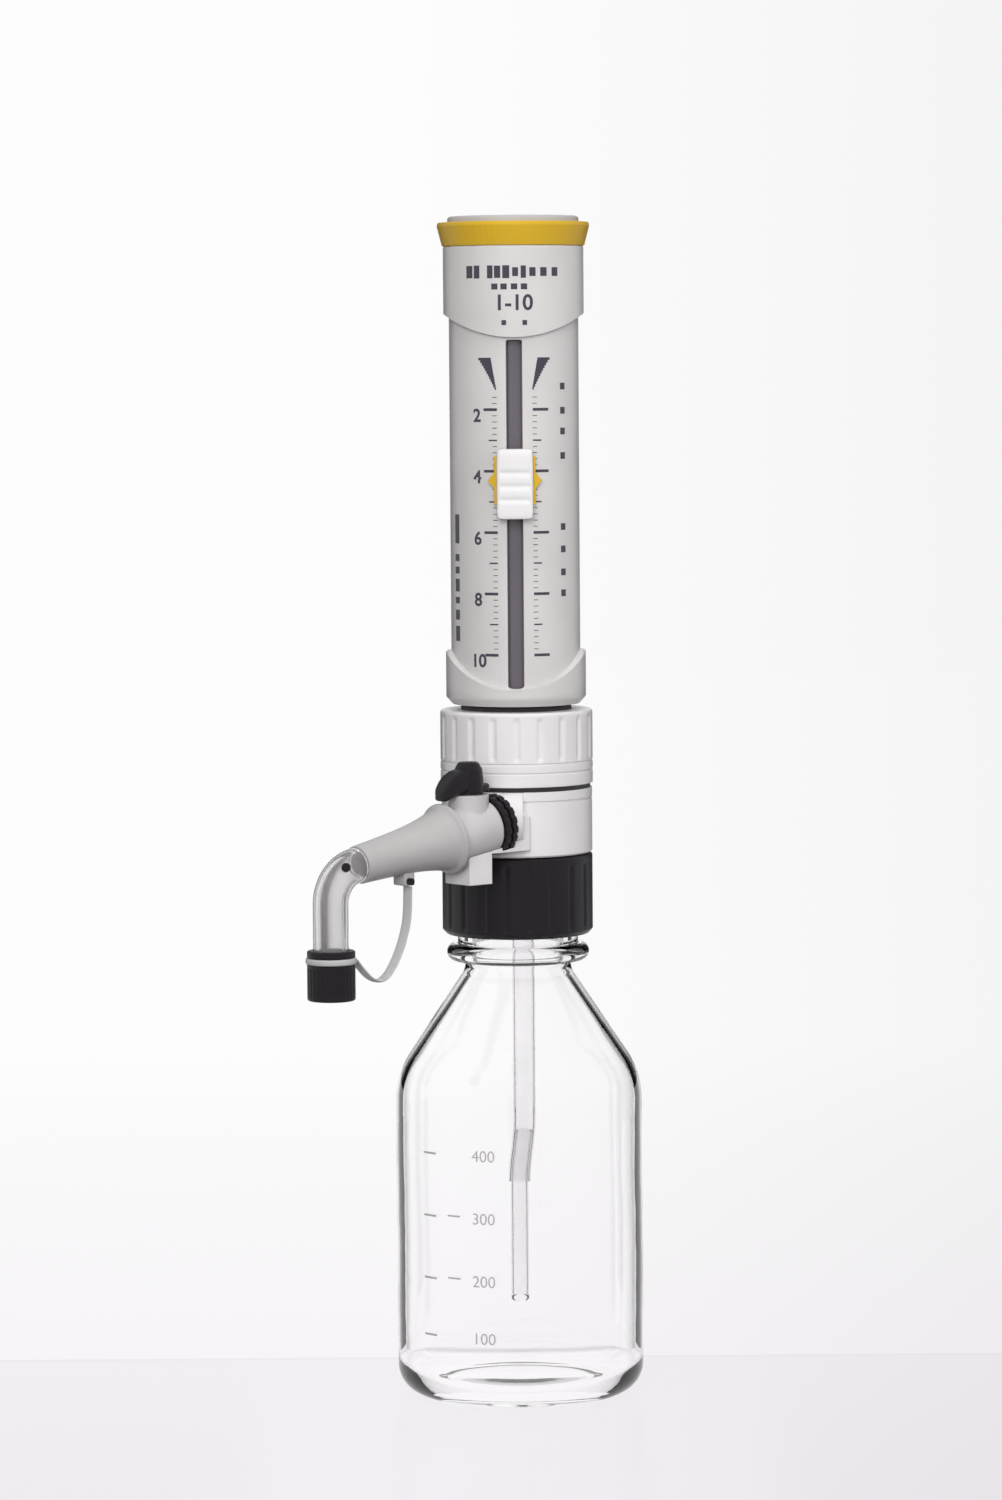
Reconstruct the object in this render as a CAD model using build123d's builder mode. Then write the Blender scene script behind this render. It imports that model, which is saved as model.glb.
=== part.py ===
from build123d import *
import os
from math import cos, pi, radians, sin, sqrt, tan

# Bottle top dispenser standing on its glass reagent bottle.
# Millimetres. +Z is up, the origin is the middle of the bottle's foot, and the
# setting scale looks along -Y.

# ---------------------------------------------------------------- driving sizes
# Reagent bottle
bottle_diameter = 86.0
bottle_height = 176.0
bottle_wall = 2.6
bottle_floor = 4.0
bottle_push_up = 1.6
bottle_foot_radius = 33.0
bottle_foot_width = 4.0
shoulder_rise = 36.9
shoulder_bend = 30.0
waist_radius = 18.4
waist_bend = 8.0
waist_height = 3.1
finish_height = 24.0
bead_radius = 24.8
bead_height = 6.0
lip_bend = 1.8
neck_radius = 21.0
mouth_radius = 16.0

# Union nut that draws the head down on the bottle
thread_gap = 0.75
union_radius = 26.2
union_height = 28.0
union_drop = 14.6
union_lip = 4.0
union_groove_count = 20
union_groove_radius = 1.3
union_groove_foot = 2.4
union_groove_head = 2.6
seal_thickness = 2.5
seal_bore = 17.0
play = 0.3

# Valve block
block_radius = 26.2
block_height = 24.2
block_line_depth = 0.4
saddle_start = 9.0
saddle_end = 19.0
saddle_half = 6.5
saddle_drop = 9.0
saddle_step = 1.6
saddle_overlap = 0.8
saddle_web_start = -8.0
saddle_web_top = 2.0
barrel_seat_height = 15.0
gasket_groove = 1.6
block_neck_radius = 18.0
spigot_radius = 21.0
spigot_height = 14.0
spigot_bore = 12.0
inlet_bore_radius = 5.0
inlet_bore_drop = 5.0
inlet_bore_rise = 10.0
inlet_body_rise = 9.6
inlet_stub = 14.0
block_gap = 0.4

# Knurled collar that clamps the guard tube and the measuring cylinder
collar_radius = 26.5
collar_height = 25.6
collar_roof = 8.4
collar_groove_count = 20
collar_groove_radius = 1.6
collar_step_height = 8.8
collar_line = 0.6
collar_step_depth = 0.5

# Measuring cylinder and plunger
barrel_bore = 11.0
barrel_wall = 2.0
piston_length = 15.5
piston_clearance = 0.05
rod_radius = 3.0
running_gap = 0.05
fit_gap = 0.02
gasket_thickness = 0.8
centring_height = 7.0

# Volume setting
full_volume_ml = 10.0
least_volume_ml = 1.0
set_volume_ml = 4.3

# Guard tube round the cylinder
guard_radius = 17.5
guard_wall = 1.8
guard_flange_height = 3.0
stop_flange_radius = 20.0
stop_flange_height = 3.5
buffer_radius = 19.2
buffer_height = 1.7

# Outer sleeve, which is the plunger's handle
sleeve_radius = 22.4
sleeve_wall = 2.0
sleeve_gap = 0.3
sleeve_head = 32.2
band_radius = 24.3
lower_band_height = 5.7
lower_band_rise = 13.1
upper_band_gap = 0.7
upper_band_rise = 8.2
sleeve_chamfer = 2.3
slot_width = 5.7
slot_foot = 6.2
slot_below_full = 11.6736
slot_above_zero = 2.8
slot_corner = 1.2
guide_ring_height = 4.2
rack_width = 2.6
rack_tooth_ml = 0.4
rack_tooth_depth = 0.8

# Slider on the sleeve
slider_width = 12.5
slider_height = 24.0
slider_drop = 1.2
slider_thickness = 3.6
slider_lug_height = 8.0
slider_neck_gap = 0.2
pointer_width = 18.6
pointer_height = 16.6
pointer_thickness = 1.0
pointer_tip = 2.2

# Yellow screw cap on the sleeve
cap_low_radius = 24.6
cap_high_radius = 26.4
cap_height = 8.2
cap_skirt_depth = 8.0
cap_skirt_wall = 2.4
cover_radius = 22.7
cover_thickness = 3.4
cover_stand = 2.1
bush_radius = 9.0
bush_height = 6.0
rod_nut_height = 3.2
rod_nut_radius = 5.2

# Discharge nozzle: an axis that leaves the block to the front left, nose down
nozzle_offset = 6.0
nozzle_stand = 1.8
nozzle_height = 12.7
nozzle_bearing = 50.0
nozzle_dip = 9.5
boss_radius = 9.3
boss_depth = 15.0
lock_ring_radius = 10.3
lock_ring_length = 5.6
lock_groove_count = 18
lock_groove_radius = 0.9
lock_line_depth = 1.1
lock_line_width = 0.8
housing_radius = 9.5
cone_start = 24.0
cone_end = 63.0
cone_rim_radius = 12.2
cone_rim_length = 1.4
cone_large_radius = 10.8
cone_middle_radius = 8.1
cone_small_radius = 6.5
cone_wall = 1.6
cone_grip = 5.0
grip_radius = 8.4
ear_half = 3.4
ear_place = 43.0
ear_height = 4.0
ear_drop = 18.6
boss_flat = 2.0
plug_place = 14.0
plug_radius = 4.5
flow_radius = 1.5
lever_hub_radius = 5.2
lever_height = 11.0
lever_half = 4.4
lever_length = 15.2
lever_tail = 9.4
lever_droop = 2.2

# Discharge valve and inlet valve
inlet_ball_radius = 2.5
inlet_lift = 1.4
discharge_ball_radius = 2.2
spring_radius = 1.9
spring_wire = 0.5
spring_turns = 5

# Filling tube
tube_radius = 3.9
tube_wall = 0.8
lower_tube_wall = 0.7
tube_end_height = 30.0
upper_tube_low = 74.0
tube_overlap = 18.0
tube_mouth_rise = 5.0

# Spout, its screw cap and the tether
spout_radius = 6.0
spout_bore = 4.2
spout_place = 74.0
spout_bend = 12.5
spout_fall = 51.5
vent_radius = 1.5
vent_depth = 1.4
outlet_cap_radius = 8.1
outlet_cap_floor = 3.6
outlet_cap_height = 16.8
tether_ring_rise = 12.2
tether_ring_height = 2.2
tether_ring_radius = 8.6
tether_groove_radius = 7.3
tether_diameter = 2.5

# ---------------------------------------------------------------- worked-out sizes
bottle_radius = bottle_diameter / 2
bead_low = bottle_height - finish_height
waist_low = bead_low - waist_height
shoulder_height = waist_low - shoulder_rise
shoulder_slope = (waist_low - shoulder_height) / (bottle_radius - waist_radius)
ml_travel = 1000.0 / (pi * barrel_bore**2 / 4)
lug_half = slider_lug_height / 2
lip = bottle_height
head_foot = lip + seal_thickness
union_bore = neck_radius + thread_gap
union_low = bottle_height - union_drop
union_high = union_low + union_height
union_lip_low = union_high - union_lip
foot_flange_high = union_lip_low - play
block_low = union_high + block_gap
block_high = block_low + block_height
collar_bore = spigot_radius + 0.6
spigot_high = block_high + spigot_height
collar_high = block_high + collar_height
collar_roof_low = collar_high - collar_roof
guard_flange_high = spigot_high + guard_flange_height
sleeve_low = collar_high + buffer_height + sleeve_gap
slot_low = sleeve_low + slot_foot
zero_mark_height = slot_low + slot_below_full + full_volume_ml * ml_travel
slot_high = zero_mark_height + slot_above_zero
sleeve_high = slot_high + sleeve_head
lower_band_edge = sleeve_low + lower_band_height
lower_band_side = lower_band_edge + lower_band_rise
upper_band_edge = slot_high + upper_band_gap
upper_band_side = upper_band_edge + upper_band_rise
pointer_at = zero_mark_height - set_volume_ml * ml_travel
stop_low = zero_mark_height + lug_half
stop_high = stop_low + stop_flange_height
barrel_radius = barrel_bore / 2
barrel_outer = barrel_radius + barrel_wall
barrel_seat = block_low + barrel_seat_height
barrel_low = barrel_seat + gasket_thickness
barrel_high = stop_low - gasket_thickness
piston_low = barrel_low + 1.5
piston_high = piston_low + piston_length
piston_radius = barrel_radius - piston_clearance
sleeve_bore = sleeve_radius - sleeve_wall
slot_middle = (slot_low + slot_high) / 2
slider_face = sleeve_radius + 0.15
slider_back = slider_face + pointer_thickness
slider_front = slider_back + slider_thickness
slider_middle = pointer_at - slider_drop
lug_front = sqrt(sleeve_bore**2 - 4.0**2) - 0.2
lug_back = guard_radius + 0.4
cap_low = sleeve_high
cap_high = cap_low + cap_height
cover_low = cap_high + cover_stand - cover_thickness
bearing = radians(nozzle_bearing)
across = Vector(-sin(bearing), -cos(bearing), 0)
dip = radians(nozzle_dip)
nozzle_start = Vector(-nozzle_offset, -block_radius - nozzle_stand, block_low + nozzle_height)
nozzle_way = Vector(across.X * cos(dip), across.Y * cos(dip), -sin(dip))
nozzle_right = Vector(cos(bearing), -sin(bearing), 0)
nozzle_axis = Axis(nozzle_start, nozzle_way)
nozzle = Plane(origin=nozzle_start, x_dir=nozzle_right, z_dir=nozzle_way)
nozzle_cut = Plane(origin=nozzle_start, x_dir=nozzle_way, z_dir=nozzle_right)
nozzle_side = Plane(origin=nozzle_start, x_dir=across, z_dir=-nozzle_right)
plug_centre = nozzle_start + nozzle_way * plug_place
spout_centre = nozzle_start + across * spout_place
spout_low = nozzle_start.Z - spout_fall
outlet_cap_low = spout_low - outlet_cap_floor
outlet_cap_high = outlet_cap_low + outlet_cap_height
tether_ring_low = outlet_cap_low + tether_ring_rise
tether_ring_high = tether_ring_low + tether_ring_height
lower_tube_high = upper_tube_low + tube_overlap
ring_gap = 0.05

os.makedirs("parts", exist_ok=True)


def add_ring(outer, inner, low, high, mode=Mode.ADD, centre=(0, 0)):
    """A ring round a vertical axis, or a disc where the inner radius is 0."""
    with BuildSketch(Plane.XY.offset(low)) as outline:
        with Locations(centre):
            Circle(outer)
            if inner > 0:
                Circle(inner, mode=Mode.SUBTRACT)
    extrude(outline.sketch, amount=high - low, mode=mode)


def add_nozzle_ring(outer, inner, start, end, mode=Mode.ADD):
    """A ring round the nozzle's axis, between two distances along it."""
    with BuildSketch(nozzle.offset(start)) as outline:
        Circle(outer)
        if inner > 0:
            Circle(inner, mode=Mode.SUBTRACT)
    extrude(outline.sketch, amount=end - start, mode=mode)


def save(part, name):
    """Labels a finished piece and writes it as its own STEP file."""
    part.label = name
    export_step(part, f"parts/{name}.step")


# ================================================================ reagent bottle
# The glass is one turned form: dished foot, straight wall, sloping shoulder,
# waist, bead and threaded neck, with an even wall inside.
inner_shoulder = shoulder_height - bottle_wall * sqrt(1 + shoulder_slope**2) + shoulder_slope * bottle_wall
inner_radius = bottle_radius - bottle_wall
inner_waist = inner_shoulder + shoulder_slope * (inner_radius - mouth_radius)
with BuildPart() as bottle:
    with BuildSketch(Plane.XZ) as bottle_outline:
        with BuildLine():
            Polyline(
                (0, bottle_push_up),
                (bottle_foot_radius - bottle_foot_width - 3, bottle_push_up),
                (bottle_foot_radius - bottle_foot_width, 0),
                (bottle_radius, 0),
                (bottle_radius, shoulder_height),
                (waist_radius, waist_low),
                (waist_radius, bead_low),
                (bead_radius, bead_low),
                (bead_radius, bead_low + bead_height),
                (neck_radius, bead_low + bead_height),
                (neck_radius, bottle_height),
                (0, bottle_height),
                close=True,
            )
        make_face()
        corners = bottle_outline.vertices()
        foot_corner = corners.filter_by_position(Axis.X, bottle_radius, bottle_radius).sort_by(Axis.Y)[0]
        foot_bend = bottle_radius - bottle_foot_radius - 0.1
        fillet(foot_corner, foot_bend)
        corners = bottle_outline.vertices()
        fillet(corners.filter_by_position(Axis.Y, shoulder_height, shoulder_height), shoulder_bend)
        corners = bottle_outline.vertices()
        fillet(corners.filter_by_position(Axis.Y, waist_low, waist_low), waist_bend)
        corners = bottle_outline.vertices()
        fillet(corners.filter_by_position(Axis.X, bead_radius, bead_radius), bead_height * 0.48)
        with BuildLine():
            Polyline(
                (0, bottle_floor),
                (inner_radius, bottle_floor),
                (inner_radius, inner_shoulder),
                (mouth_radius, inner_waist),
                (mouth_radius, bottle_height + 1),
                (0, bottle_height + 1),
                close=True,
            )
        make_face(mode=Mode.SUBTRACT)
        corners = bottle_outline.vertices()
        inner_foot = corners.filter_by_position(Axis.X, inner_radius, inner_radius).sort_by(Axis.Y)[0]
        fillet(inner_foot, foot_bend - bottle_wall)
        corners = bottle_outline.vertices()
        inner_corner = corners.filter_by_position(Axis.Y, inner_shoulder, inner_shoulder)
        fillet(inner_corner, shoulder_bend - bottle_wall)
        corners = bottle_outline.vertices()
        fillet(corners.filter_by_position(Axis.Y, bottle_height, bottle_height), lip_bend)
    revolve(axis=Axis.Z)
save(bottle.part, "bottle")

# ================================================================ bottle closure
# Flat gasket between the bottle's lip and the foot of the valve block.
with BuildPart() as lip_seal:
    add_ring(neck_radius - 0.6, seal_bore, lip, head_foot)
save(lip_seal.part, "lip_seal")

# Union nut: grooved black skirt, threaded bore, inward lip that pulls on the
# foot flange of the valve block.
with BuildPart() as union_nut:
    add_ring(union_radius, union_bore, union_low, union_lip_low)
    add_ring(union_radius, block_neck_radius + play, union_lip_low, union_high)
    nut_rims = union_nut.edges().filter_by(GeomType.CIRCLE).group_by(Axis.Z)
    chamfer(nut_rims[0].sort_by(SortBy.RADIUS)[-1], 1.6)
    nut_rims = union_nut.edges().filter_by(GeomType.CIRCLE).group_by(Axis.Z)
    chamfer(nut_rims[-1].sort_by(SortBy.RADIUS)[-1], 0.8)
    with BuildSketch(Plane.XY.offset(union_low + union_groove_foot)):
        with PolarLocations(union_radius + union_groove_radius * 0.55, union_groove_count, start_angle=9):
            Circle(union_groove_radius)
    extrude(amount=union_height - union_groove_foot - union_groove_head, mode=Mode.SUBTRACT)
save(union_nut.part, "union_nut")

# ================================================================ valve block
# White moulding: foot flange in the union nut, round body, threaded spigot on
# top, the oblique boss of the discharge nozzle and the saddle under it.
barrel_socket = barrel_outer + 0.25
saddle_low = block_low - saddle_drop + saddle_step
with BuildPart() as valve_block:
    # boss of the nozzle, cut flat where it would stand out on the right
    add_nozzle_ring(boss_radius, 0, -boss_depth, 0)
    with BuildSketch(Plane.XY.offset(block_low)):
        with Locations((boss_flat, -block_radius)):
            Rectangle(block_radius, block_radius, align=(Align.MIN, Align.CENTER))
    extrude(amount=block_height, mode=Mode.SUBTRACT)
    add_ring(block_radius, 0, block_low, block_high)
    # groove for the collar's gasket, and a turned line below it
    gasket_low = block_high - gasket_groove
    add_ring(block_radius + 1, block_radius - gasket_groove, gasket_low, block_high, mode=Mode.SUBTRACT)
    line_high = block_high - 3 * gasket_groove
    line_low = line_high - collar_line
    add_ring(block_radius + 1, block_radius - block_line_depth, line_low, line_high, mode=Mode.SUBTRACT)
    chamfer(valve_block.edges().filter_by(GeomType.CIRCLE).group_by(Axis.Z)[0], 0.6)
    add_ring(spigot_radius, 0, block_high, spigot_high)
    add_ring(block_neck_radius, 0, foot_flange_high, block_low)
    add_ring(union_bore - 0.6, 0, head_foot, foot_flange_high)
    # saddle that carries the nozzle housing, kept clear of the union nut
    with BuildSketch(nozzle_side.offset(-saddle_half)):
        with BuildLine():
            Polyline(
                (saddle_start, saddle_low - nozzle_start.Z),
                (saddle_end, saddle_low - nozzle_start.Z),
                (saddle_end, -saddle_drop),
                (saddle_start, -saddle_drop),
                close=True,
            )
        make_face()
    extrude(amount=2 * saddle_half)
    with BuildSketch(nozzle_side.offset(-saddle_half)):
        with BuildLine():
            Polyline(
                (saddle_web_start, -saddle_drop - saddle_overlap),
                (saddle_start + 0.1, -saddle_drop - saddle_overlap),
                (saddle_start + 0.1, saddle_web_top),
                (saddle_web_start, saddle_web_top),
                close=True,
            )
        make_face()
    extrude(amount=2 * saddle_half)
    add_ring(union_radius + 0.6, 0, saddle_low - 1, block_low, mode=Mode.SUBTRACT)
    add_ring(union_bore - 0.6, 0, head_foot, foot_flange_high)
    add_ring(block_neck_radius, 0, foot_flange_high, block_low)
    # seat for the lock ring and the housing, which stand in front of the boss
    add_nozzle_ring(lock_ring_radius + 0.3, 0, 0, lock_ring_length + 0.02, mode=Mode.SUBTRACT)
    add_nozzle_ring(housing_radius + 0.2, 0, lock_ring_length, cone_start + 1, mode=Mode.SUBTRACT)
    # bores: inlet, cylinder seat, spigot, discharge channel
    inlet_bore_low = block_low - inlet_bore_drop
    inlet_bore_high = block_low + inlet_bore_rise
    add_ring(tube_radius + play, 0, head_foot - 1, inlet_bore_low, mode=Mode.SUBTRACT)
    add_ring(inlet_bore_radius, 0, inlet_bore_low, inlet_bore_high, mode=Mode.SUBTRACT)
    add_ring(barrel_radius - 1.5, 0, inlet_bore_high - 1, barrel_seat + 1, mode=Mode.SUBTRACT)
    add_ring(barrel_socket, 0, barrel_seat, spigot_high + 1, mode=Mode.SUBTRACT)
    add_ring(spigot_bore, 0, block_high - 2.0, spigot_high + 1, mode=Mode.SUBTRACT)
    add_nozzle_ring(discharge_ball_radius + 0.9, 0, -boss_depth + 3.0, 0.1, mode=Mode.SUBTRACT)
    channel_end = nozzle_start - nozzle_way * (boss_depth - 4.2)
    channel_way = Vector(channel_end.X, channel_end.Y, 0).normalized()
    channel_height = barrel_seat - 1.8
    with BuildSketch(Plane(origin=(0, 0, channel_height), z_dir=channel_way)):
        Circle(flow_radius)
    extrude(amount=Vector(channel_end.X, channel_end.Y, 0).length, mode=Mode.SUBTRACT)
save(valve_block.part, "valve_block")

# ================================================================ inlet valve
# Turned insert in the block's axis: hose stub below, cone seat, ball chamber
# with a catch bridge above.
inlet_seat = block_low + 2.0
inlet_ball_centre = inlet_seat + inlet_ball_radius * 0.72 + 0.1
inlet_top = block_low + inlet_body_rise
inlet_foot = inlet_bore_low + 0.1
stub_low = block_low - inlet_stub
ball_room = inlet_ball_radius + 0.4
inlet_hole = 1.6
with BuildPart() as inlet_valve_body:
    add_ring(inlet_bore_radius - fit_gap, 0, inlet_foot, inlet_top)
    add_ring(tube_radius - tube_wall - fit_gap, 0, stub_low, inlet_foot)
    add_ring(inlet_hole, 0, stub_low - 1, inlet_top, mode=Mode.SUBTRACT)
    add_ring(ball_room, 0, inlet_seat, inlet_top + 1, mode=Mode.SUBTRACT)
    with BuildSketch(Plane.XZ):
        with BuildLine():
            Polyline(
                (0, inlet_seat - 1.2),
                (inlet_hole, inlet_seat - 1.2),
                (ball_room, inlet_seat),
                (0, inlet_seat + fit_gap),
                close=True,
            )
        make_face()
    revolve(axis=Axis.Z, mode=Mode.SUBTRACT)
    # catch bridge across the chamber
    bridge_low = inlet_ball_centre + inlet_ball_radius + inlet_lift + 0.1
    with BuildSketch(Plane.XY.offset(bridge_low)):
        Rectangle(2 * inlet_ball_radius + 1.2, 1.2)
    extrude(amount=inlet_top - bridge_low)
save(inlet_valve_body.part, "inlet_valve_body")

with BuildPart() as inlet_ball:
    with Locations((0, 0, inlet_ball_centre)):
        Sphere(inlet_ball_radius)
save(inlet_ball.part, "inlet_ball")

# Telescopic filling tube: the upper length is pushed on the valve stub, the
# lower length slides in it and reaches down towards the bottle's floor.
with BuildPart() as filling_tube_upper:
    add_ring(tube_radius, tube_radius - tube_wall, upper_tube_low, inlet_bore_low - play)
save(filling_tube_upper.part, "filling_tube_upper")

lower_tube_radius = tube_radius - tube_wall - ring_gap
with BuildPart() as filling_tube_lower:
    add_ring(lower_tube_radius, lower_tube_radius - lower_tube_wall, tube_end_height, lower_tube_high)
    # slanted mouth that can't be closed by the bottle's floor
    with BuildSketch(Plane.YZ.offset(-tube_radius)):
        with BuildLine():
            Polyline(
                (-tube_radius, tube_end_height - 1),
                (tube_radius, tube_end_height - 1),
                (-tube_radius, tube_end_height + tube_mouth_rise),
                close=True,
            )
        make_face()
    extrude(amount=2 * tube_radius, mode=Mode.SUBTRACT)
save(filling_tube_lower.part, "filling_tube_lower")

# ================================================================ measuring cylinder
with BuildPart() as cylinder_gasket:
    add_ring(barrel_outer, barrel_radius, barrel_seat, barrel_low)
save(cylinder_gasket.part, "cylinder_gasket")

with BuildPart() as glass_cylinder:
    add_ring(barrel_outer, barrel_radius, barrel_low, barrel_high)
save(glass_cylinder.part, "glass_cylinder")

# Elastic ring that centres the top of the glass in the guard tube.
with BuildPart() as centring_ring:
    centring_low = barrel_high - centring_height
    add_ring(guard_radius - guard_wall - ring_gap, barrel_outer + ring_gap, centring_low, barrel_high)
    with BuildSketch(Plane.XY.offset(centring_low - 0.5)):
        with PolarLocations((guard_radius + barrel_outer) / 2 - 0.5, 6):
            Circle(2.4)
    extrude(amount=centring_height + 1, mode=Mode.SUBTRACT)
save(centring_ring.part, "centring_ring")

# ================================================================ guard tube
# Dark tube round the glass. Its foot flange is clamped by the collar, its head
# is closed but for the rod's bush, and its stop flange ends the upward stroke.
notch_low = 4.9
notch_width = rack_width + 0.9
with BuildPart() as guard_tube:
    add_ring(spigot_radius, barrel_socket + 3.0, spigot_high, guard_flange_high)
    add_ring(guard_radius, guard_radius - guard_wall, guard_flange_high, stop_low)
    add_ring(stop_flange_radius, rod_radius + running_gap, stop_low, stop_high)
    # notch in the stop flange for the rack that runs past it
    with BuildSketch(Plane.XY.offset(stop_low - 1)):
        with Locations((notch_low + notch_width / 2, -stop_flange_radius + 1.2)):
            Rectangle(notch_width, 5.2)
    extrude(amount=stop_flange_height + 2, mode=Mode.SUBTRACT)
save(guard_tube.part, "guard_tube")

with BuildPart() as knurled_collar:
    add_ring(collar_radius, collar_bore, block_high, collar_roof_low)
    add_ring(collar_radius, guard_radius + 0.25, collar_roof_low, collar_high)
    collar_top = knurled_collar.edges().filter_by(GeomType.CIRCLE).group_by(Axis.Z)[-1]
    chamfer(collar_top.sort_by(SortBy.RADIUS)[-1], 1.0)
    with BuildSketch(Plane.XY.offset(block_high + collar_step_height)):
        with PolarLocations(collar_radius + collar_groove_radius * 0.62, collar_groove_count):
            Circle(collar_groove_radius)
    extrude(amount=collar_height - collar_step_height - 1.8, mode=Mode.SUBTRACT)
    # two shallow turned lines above the foot of the skirt
    for line_high in (collar_step_height - collar_line, collar_step_height / 2 + collar_line):
        line_top = block_high + line_high
        line_foot = line_top - collar_line
        line_radius = collar_radius - collar_step_depth
        add_ring(collar_radius + 1, line_radius, line_foot, line_top, mode=Mode.SUBTRACT)
save(knurled_collar.part, "knurled_collar")

# Black gasket in the groove between the collar and the block.
with BuildPart() as collar_gasket:
    gasket_inner = block_radius - gasket_groove + fit_gap
    gasket_outer = gasket_inner + gasket_groove * 0.6
    add_ring(gasket_outer, gasket_inner, gasket_low + fit_gap, block_high - fit_gap)
save(collar_gasket.part, "collar_gasket")

with BuildPart() as buffer_ring:
    add_ring(buffer_radius, guard_radius + 0.1, collar_high, collar_high + buffer_height)
    buffer_top = buffer_ring.edges().filter_by(GeomType.CIRCLE).group_by(Axis.Z)[-1]
    fillet(buffer_top.sort_by(SortBy.RADIUS)[-1], 0.8)
save(buffer_ring.part, "buffer_ring")

# ================================================================ plunger
with BuildPart() as piston:
    add_ring(piston_radius - 0.1, 0, piston_low, piston_high)
    add_ring(piston_radius + 1, piston_radius - 1.2, piston_low + 3.0, piston_low + 6.0, mode=Mode.SUBTRACT)
    add_ring(rod_radius + fit_gap, 0, piston_low + 7.5, piston_high + 1, mode=Mode.SUBTRACT)
    chamfer(piston.edges().filter_by(GeomType.CIRCLE).group_by(Axis.Z)[0], 0.6)
save(piston.part, "piston")

with BuildPart() as piston_seal:
    add_ring(piston_radius, piston_radius - 1.2 + fit_gap, piston_low + 3.05, piston_low + 5.95)
save(piston_seal.part, "piston_seal")

rod_high = cap_low + 4.0
with BuildPart() as piston_rod:
    add_ring(rod_radius, 0, piston_low + 7.5, rod_high)
    chamfer(piston_rod.edges().filter_by(GeomType.CIRCLE), 0.4)
save(piston_rod.part, "piston_rod")

# Outer sleeve: a thin tube with a raised band at each end. Both bands have a
# lower edge at the front than at the sides, to leave the scale free.
with BuildPart() as outer_sleeve:
    add_ring(band_radius, sleeve_radius - 0.5, sleeve_low, lower_band_side)
    sleeve_foot = outer_sleeve.edges().filter_by(GeomType.CIRCLE).group_by(Axis.Z)[0]
    chamfer(sleeve_foot.sort_by(SortBy.RADIUS)[-1], sleeve_chamfer)
    with BuildSketch(Plane.XZ.offset(-band_radius - 1)):
        with BuildLine():
            ThreePointArc(
                (-band_radius, lower_band_side), (0, lower_band_edge), (band_radius, lower_band_side)
            )
            Line((band_radius, lower_band_side), (-band_radius, lower_band_side))
        make_face()
    extrude(amount=2 * band_radius + 2, mode=Mode.SUBTRACT)
    add_ring(band_radius, sleeve_radius - 0.5, upper_band_edge, sleeve_high)
    with BuildSketch(Plane.XZ.offset(-band_radius - 1)):
        with BuildLine():
            ThreePointArc(
                (-band_radius, upper_band_side), (0, upper_band_edge), (band_radius, upper_band_side)
            )
            Polyline(
                (band_radius, upper_band_side),
                (band_radius + 1, upper_band_side),
                (band_radius + 1, upper_band_edge - 1),
                (-band_radius - 1, upper_band_edge - 1),
                (-band_radius - 1, upper_band_side),
                (-band_radius, upper_band_side),
            )
        make_face()
    extrude(amount=2 * band_radius + 2, mode=Mode.SUBTRACT)
    add_ring(sleeve_radius, sleeve_bore, sleeve_low, sleeve_high)
    with BuildSketch(Plane.XZ.offset(sleeve_bore - 3.0)):
        with Locations((0, slot_middle)):
            RectangleRounded(slot_width, slot_high - slot_low, slot_corner)
    extrude(amount=9.0, mode=Mode.SUBTRACT)
save(outer_sleeve.part, "outer_sleeve")

# Guide ring pressed into the foot of the sleeve, which runs on the guard tube.
with BuildPart() as guide_ring:
    add_ring(sleeve_bore - fit_gap, guard_radius + running_gap, sleeve_low, sleeve_low + guide_ring_height)
save(guide_ring.part, "guide_ring")

# Toothed rack beside the slot, inside the sleeve, that the slider's pawl drops
# into: one tooth for each step of the scale.
tooth_pitch = rack_tooth_ml * ml_travel
rack_left = notch_low + 0.3
rack_low = zero_mark_height - full_volume_ml * ml_travel - lug_half
tooth_count = int((zero_mark_height - rack_low) / tooth_pitch)
with BuildPart() as setting_rack:
    with BuildSketch(Plane.XZ.offset(guard_radius - 0.5)):
        with Locations((rack_left + rack_width / 2, (rack_low + zero_mark_height) / 2)):
            Rectangle(rack_width, zero_mark_height - rack_low)
        for tooth in range(tooth_count):
            tooth_low = rack_low + tooth * tooth_pitch
            with BuildLine():
                Polyline(
                    (rack_left - 0.1, tooth_low + tooth_pitch * 0.3),
                    (rack_left + rack_tooth_depth, tooth_low + tooth_pitch * 0.5),
                    (rack_left - 0.1, tooth_low + tooth_pitch * 0.7),
                    close=True,
                )
            make_face(mode=Mode.SUBTRACT)
    extrude(amount=1.6)
save(setting_rack.part, "setting_rack")

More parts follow.
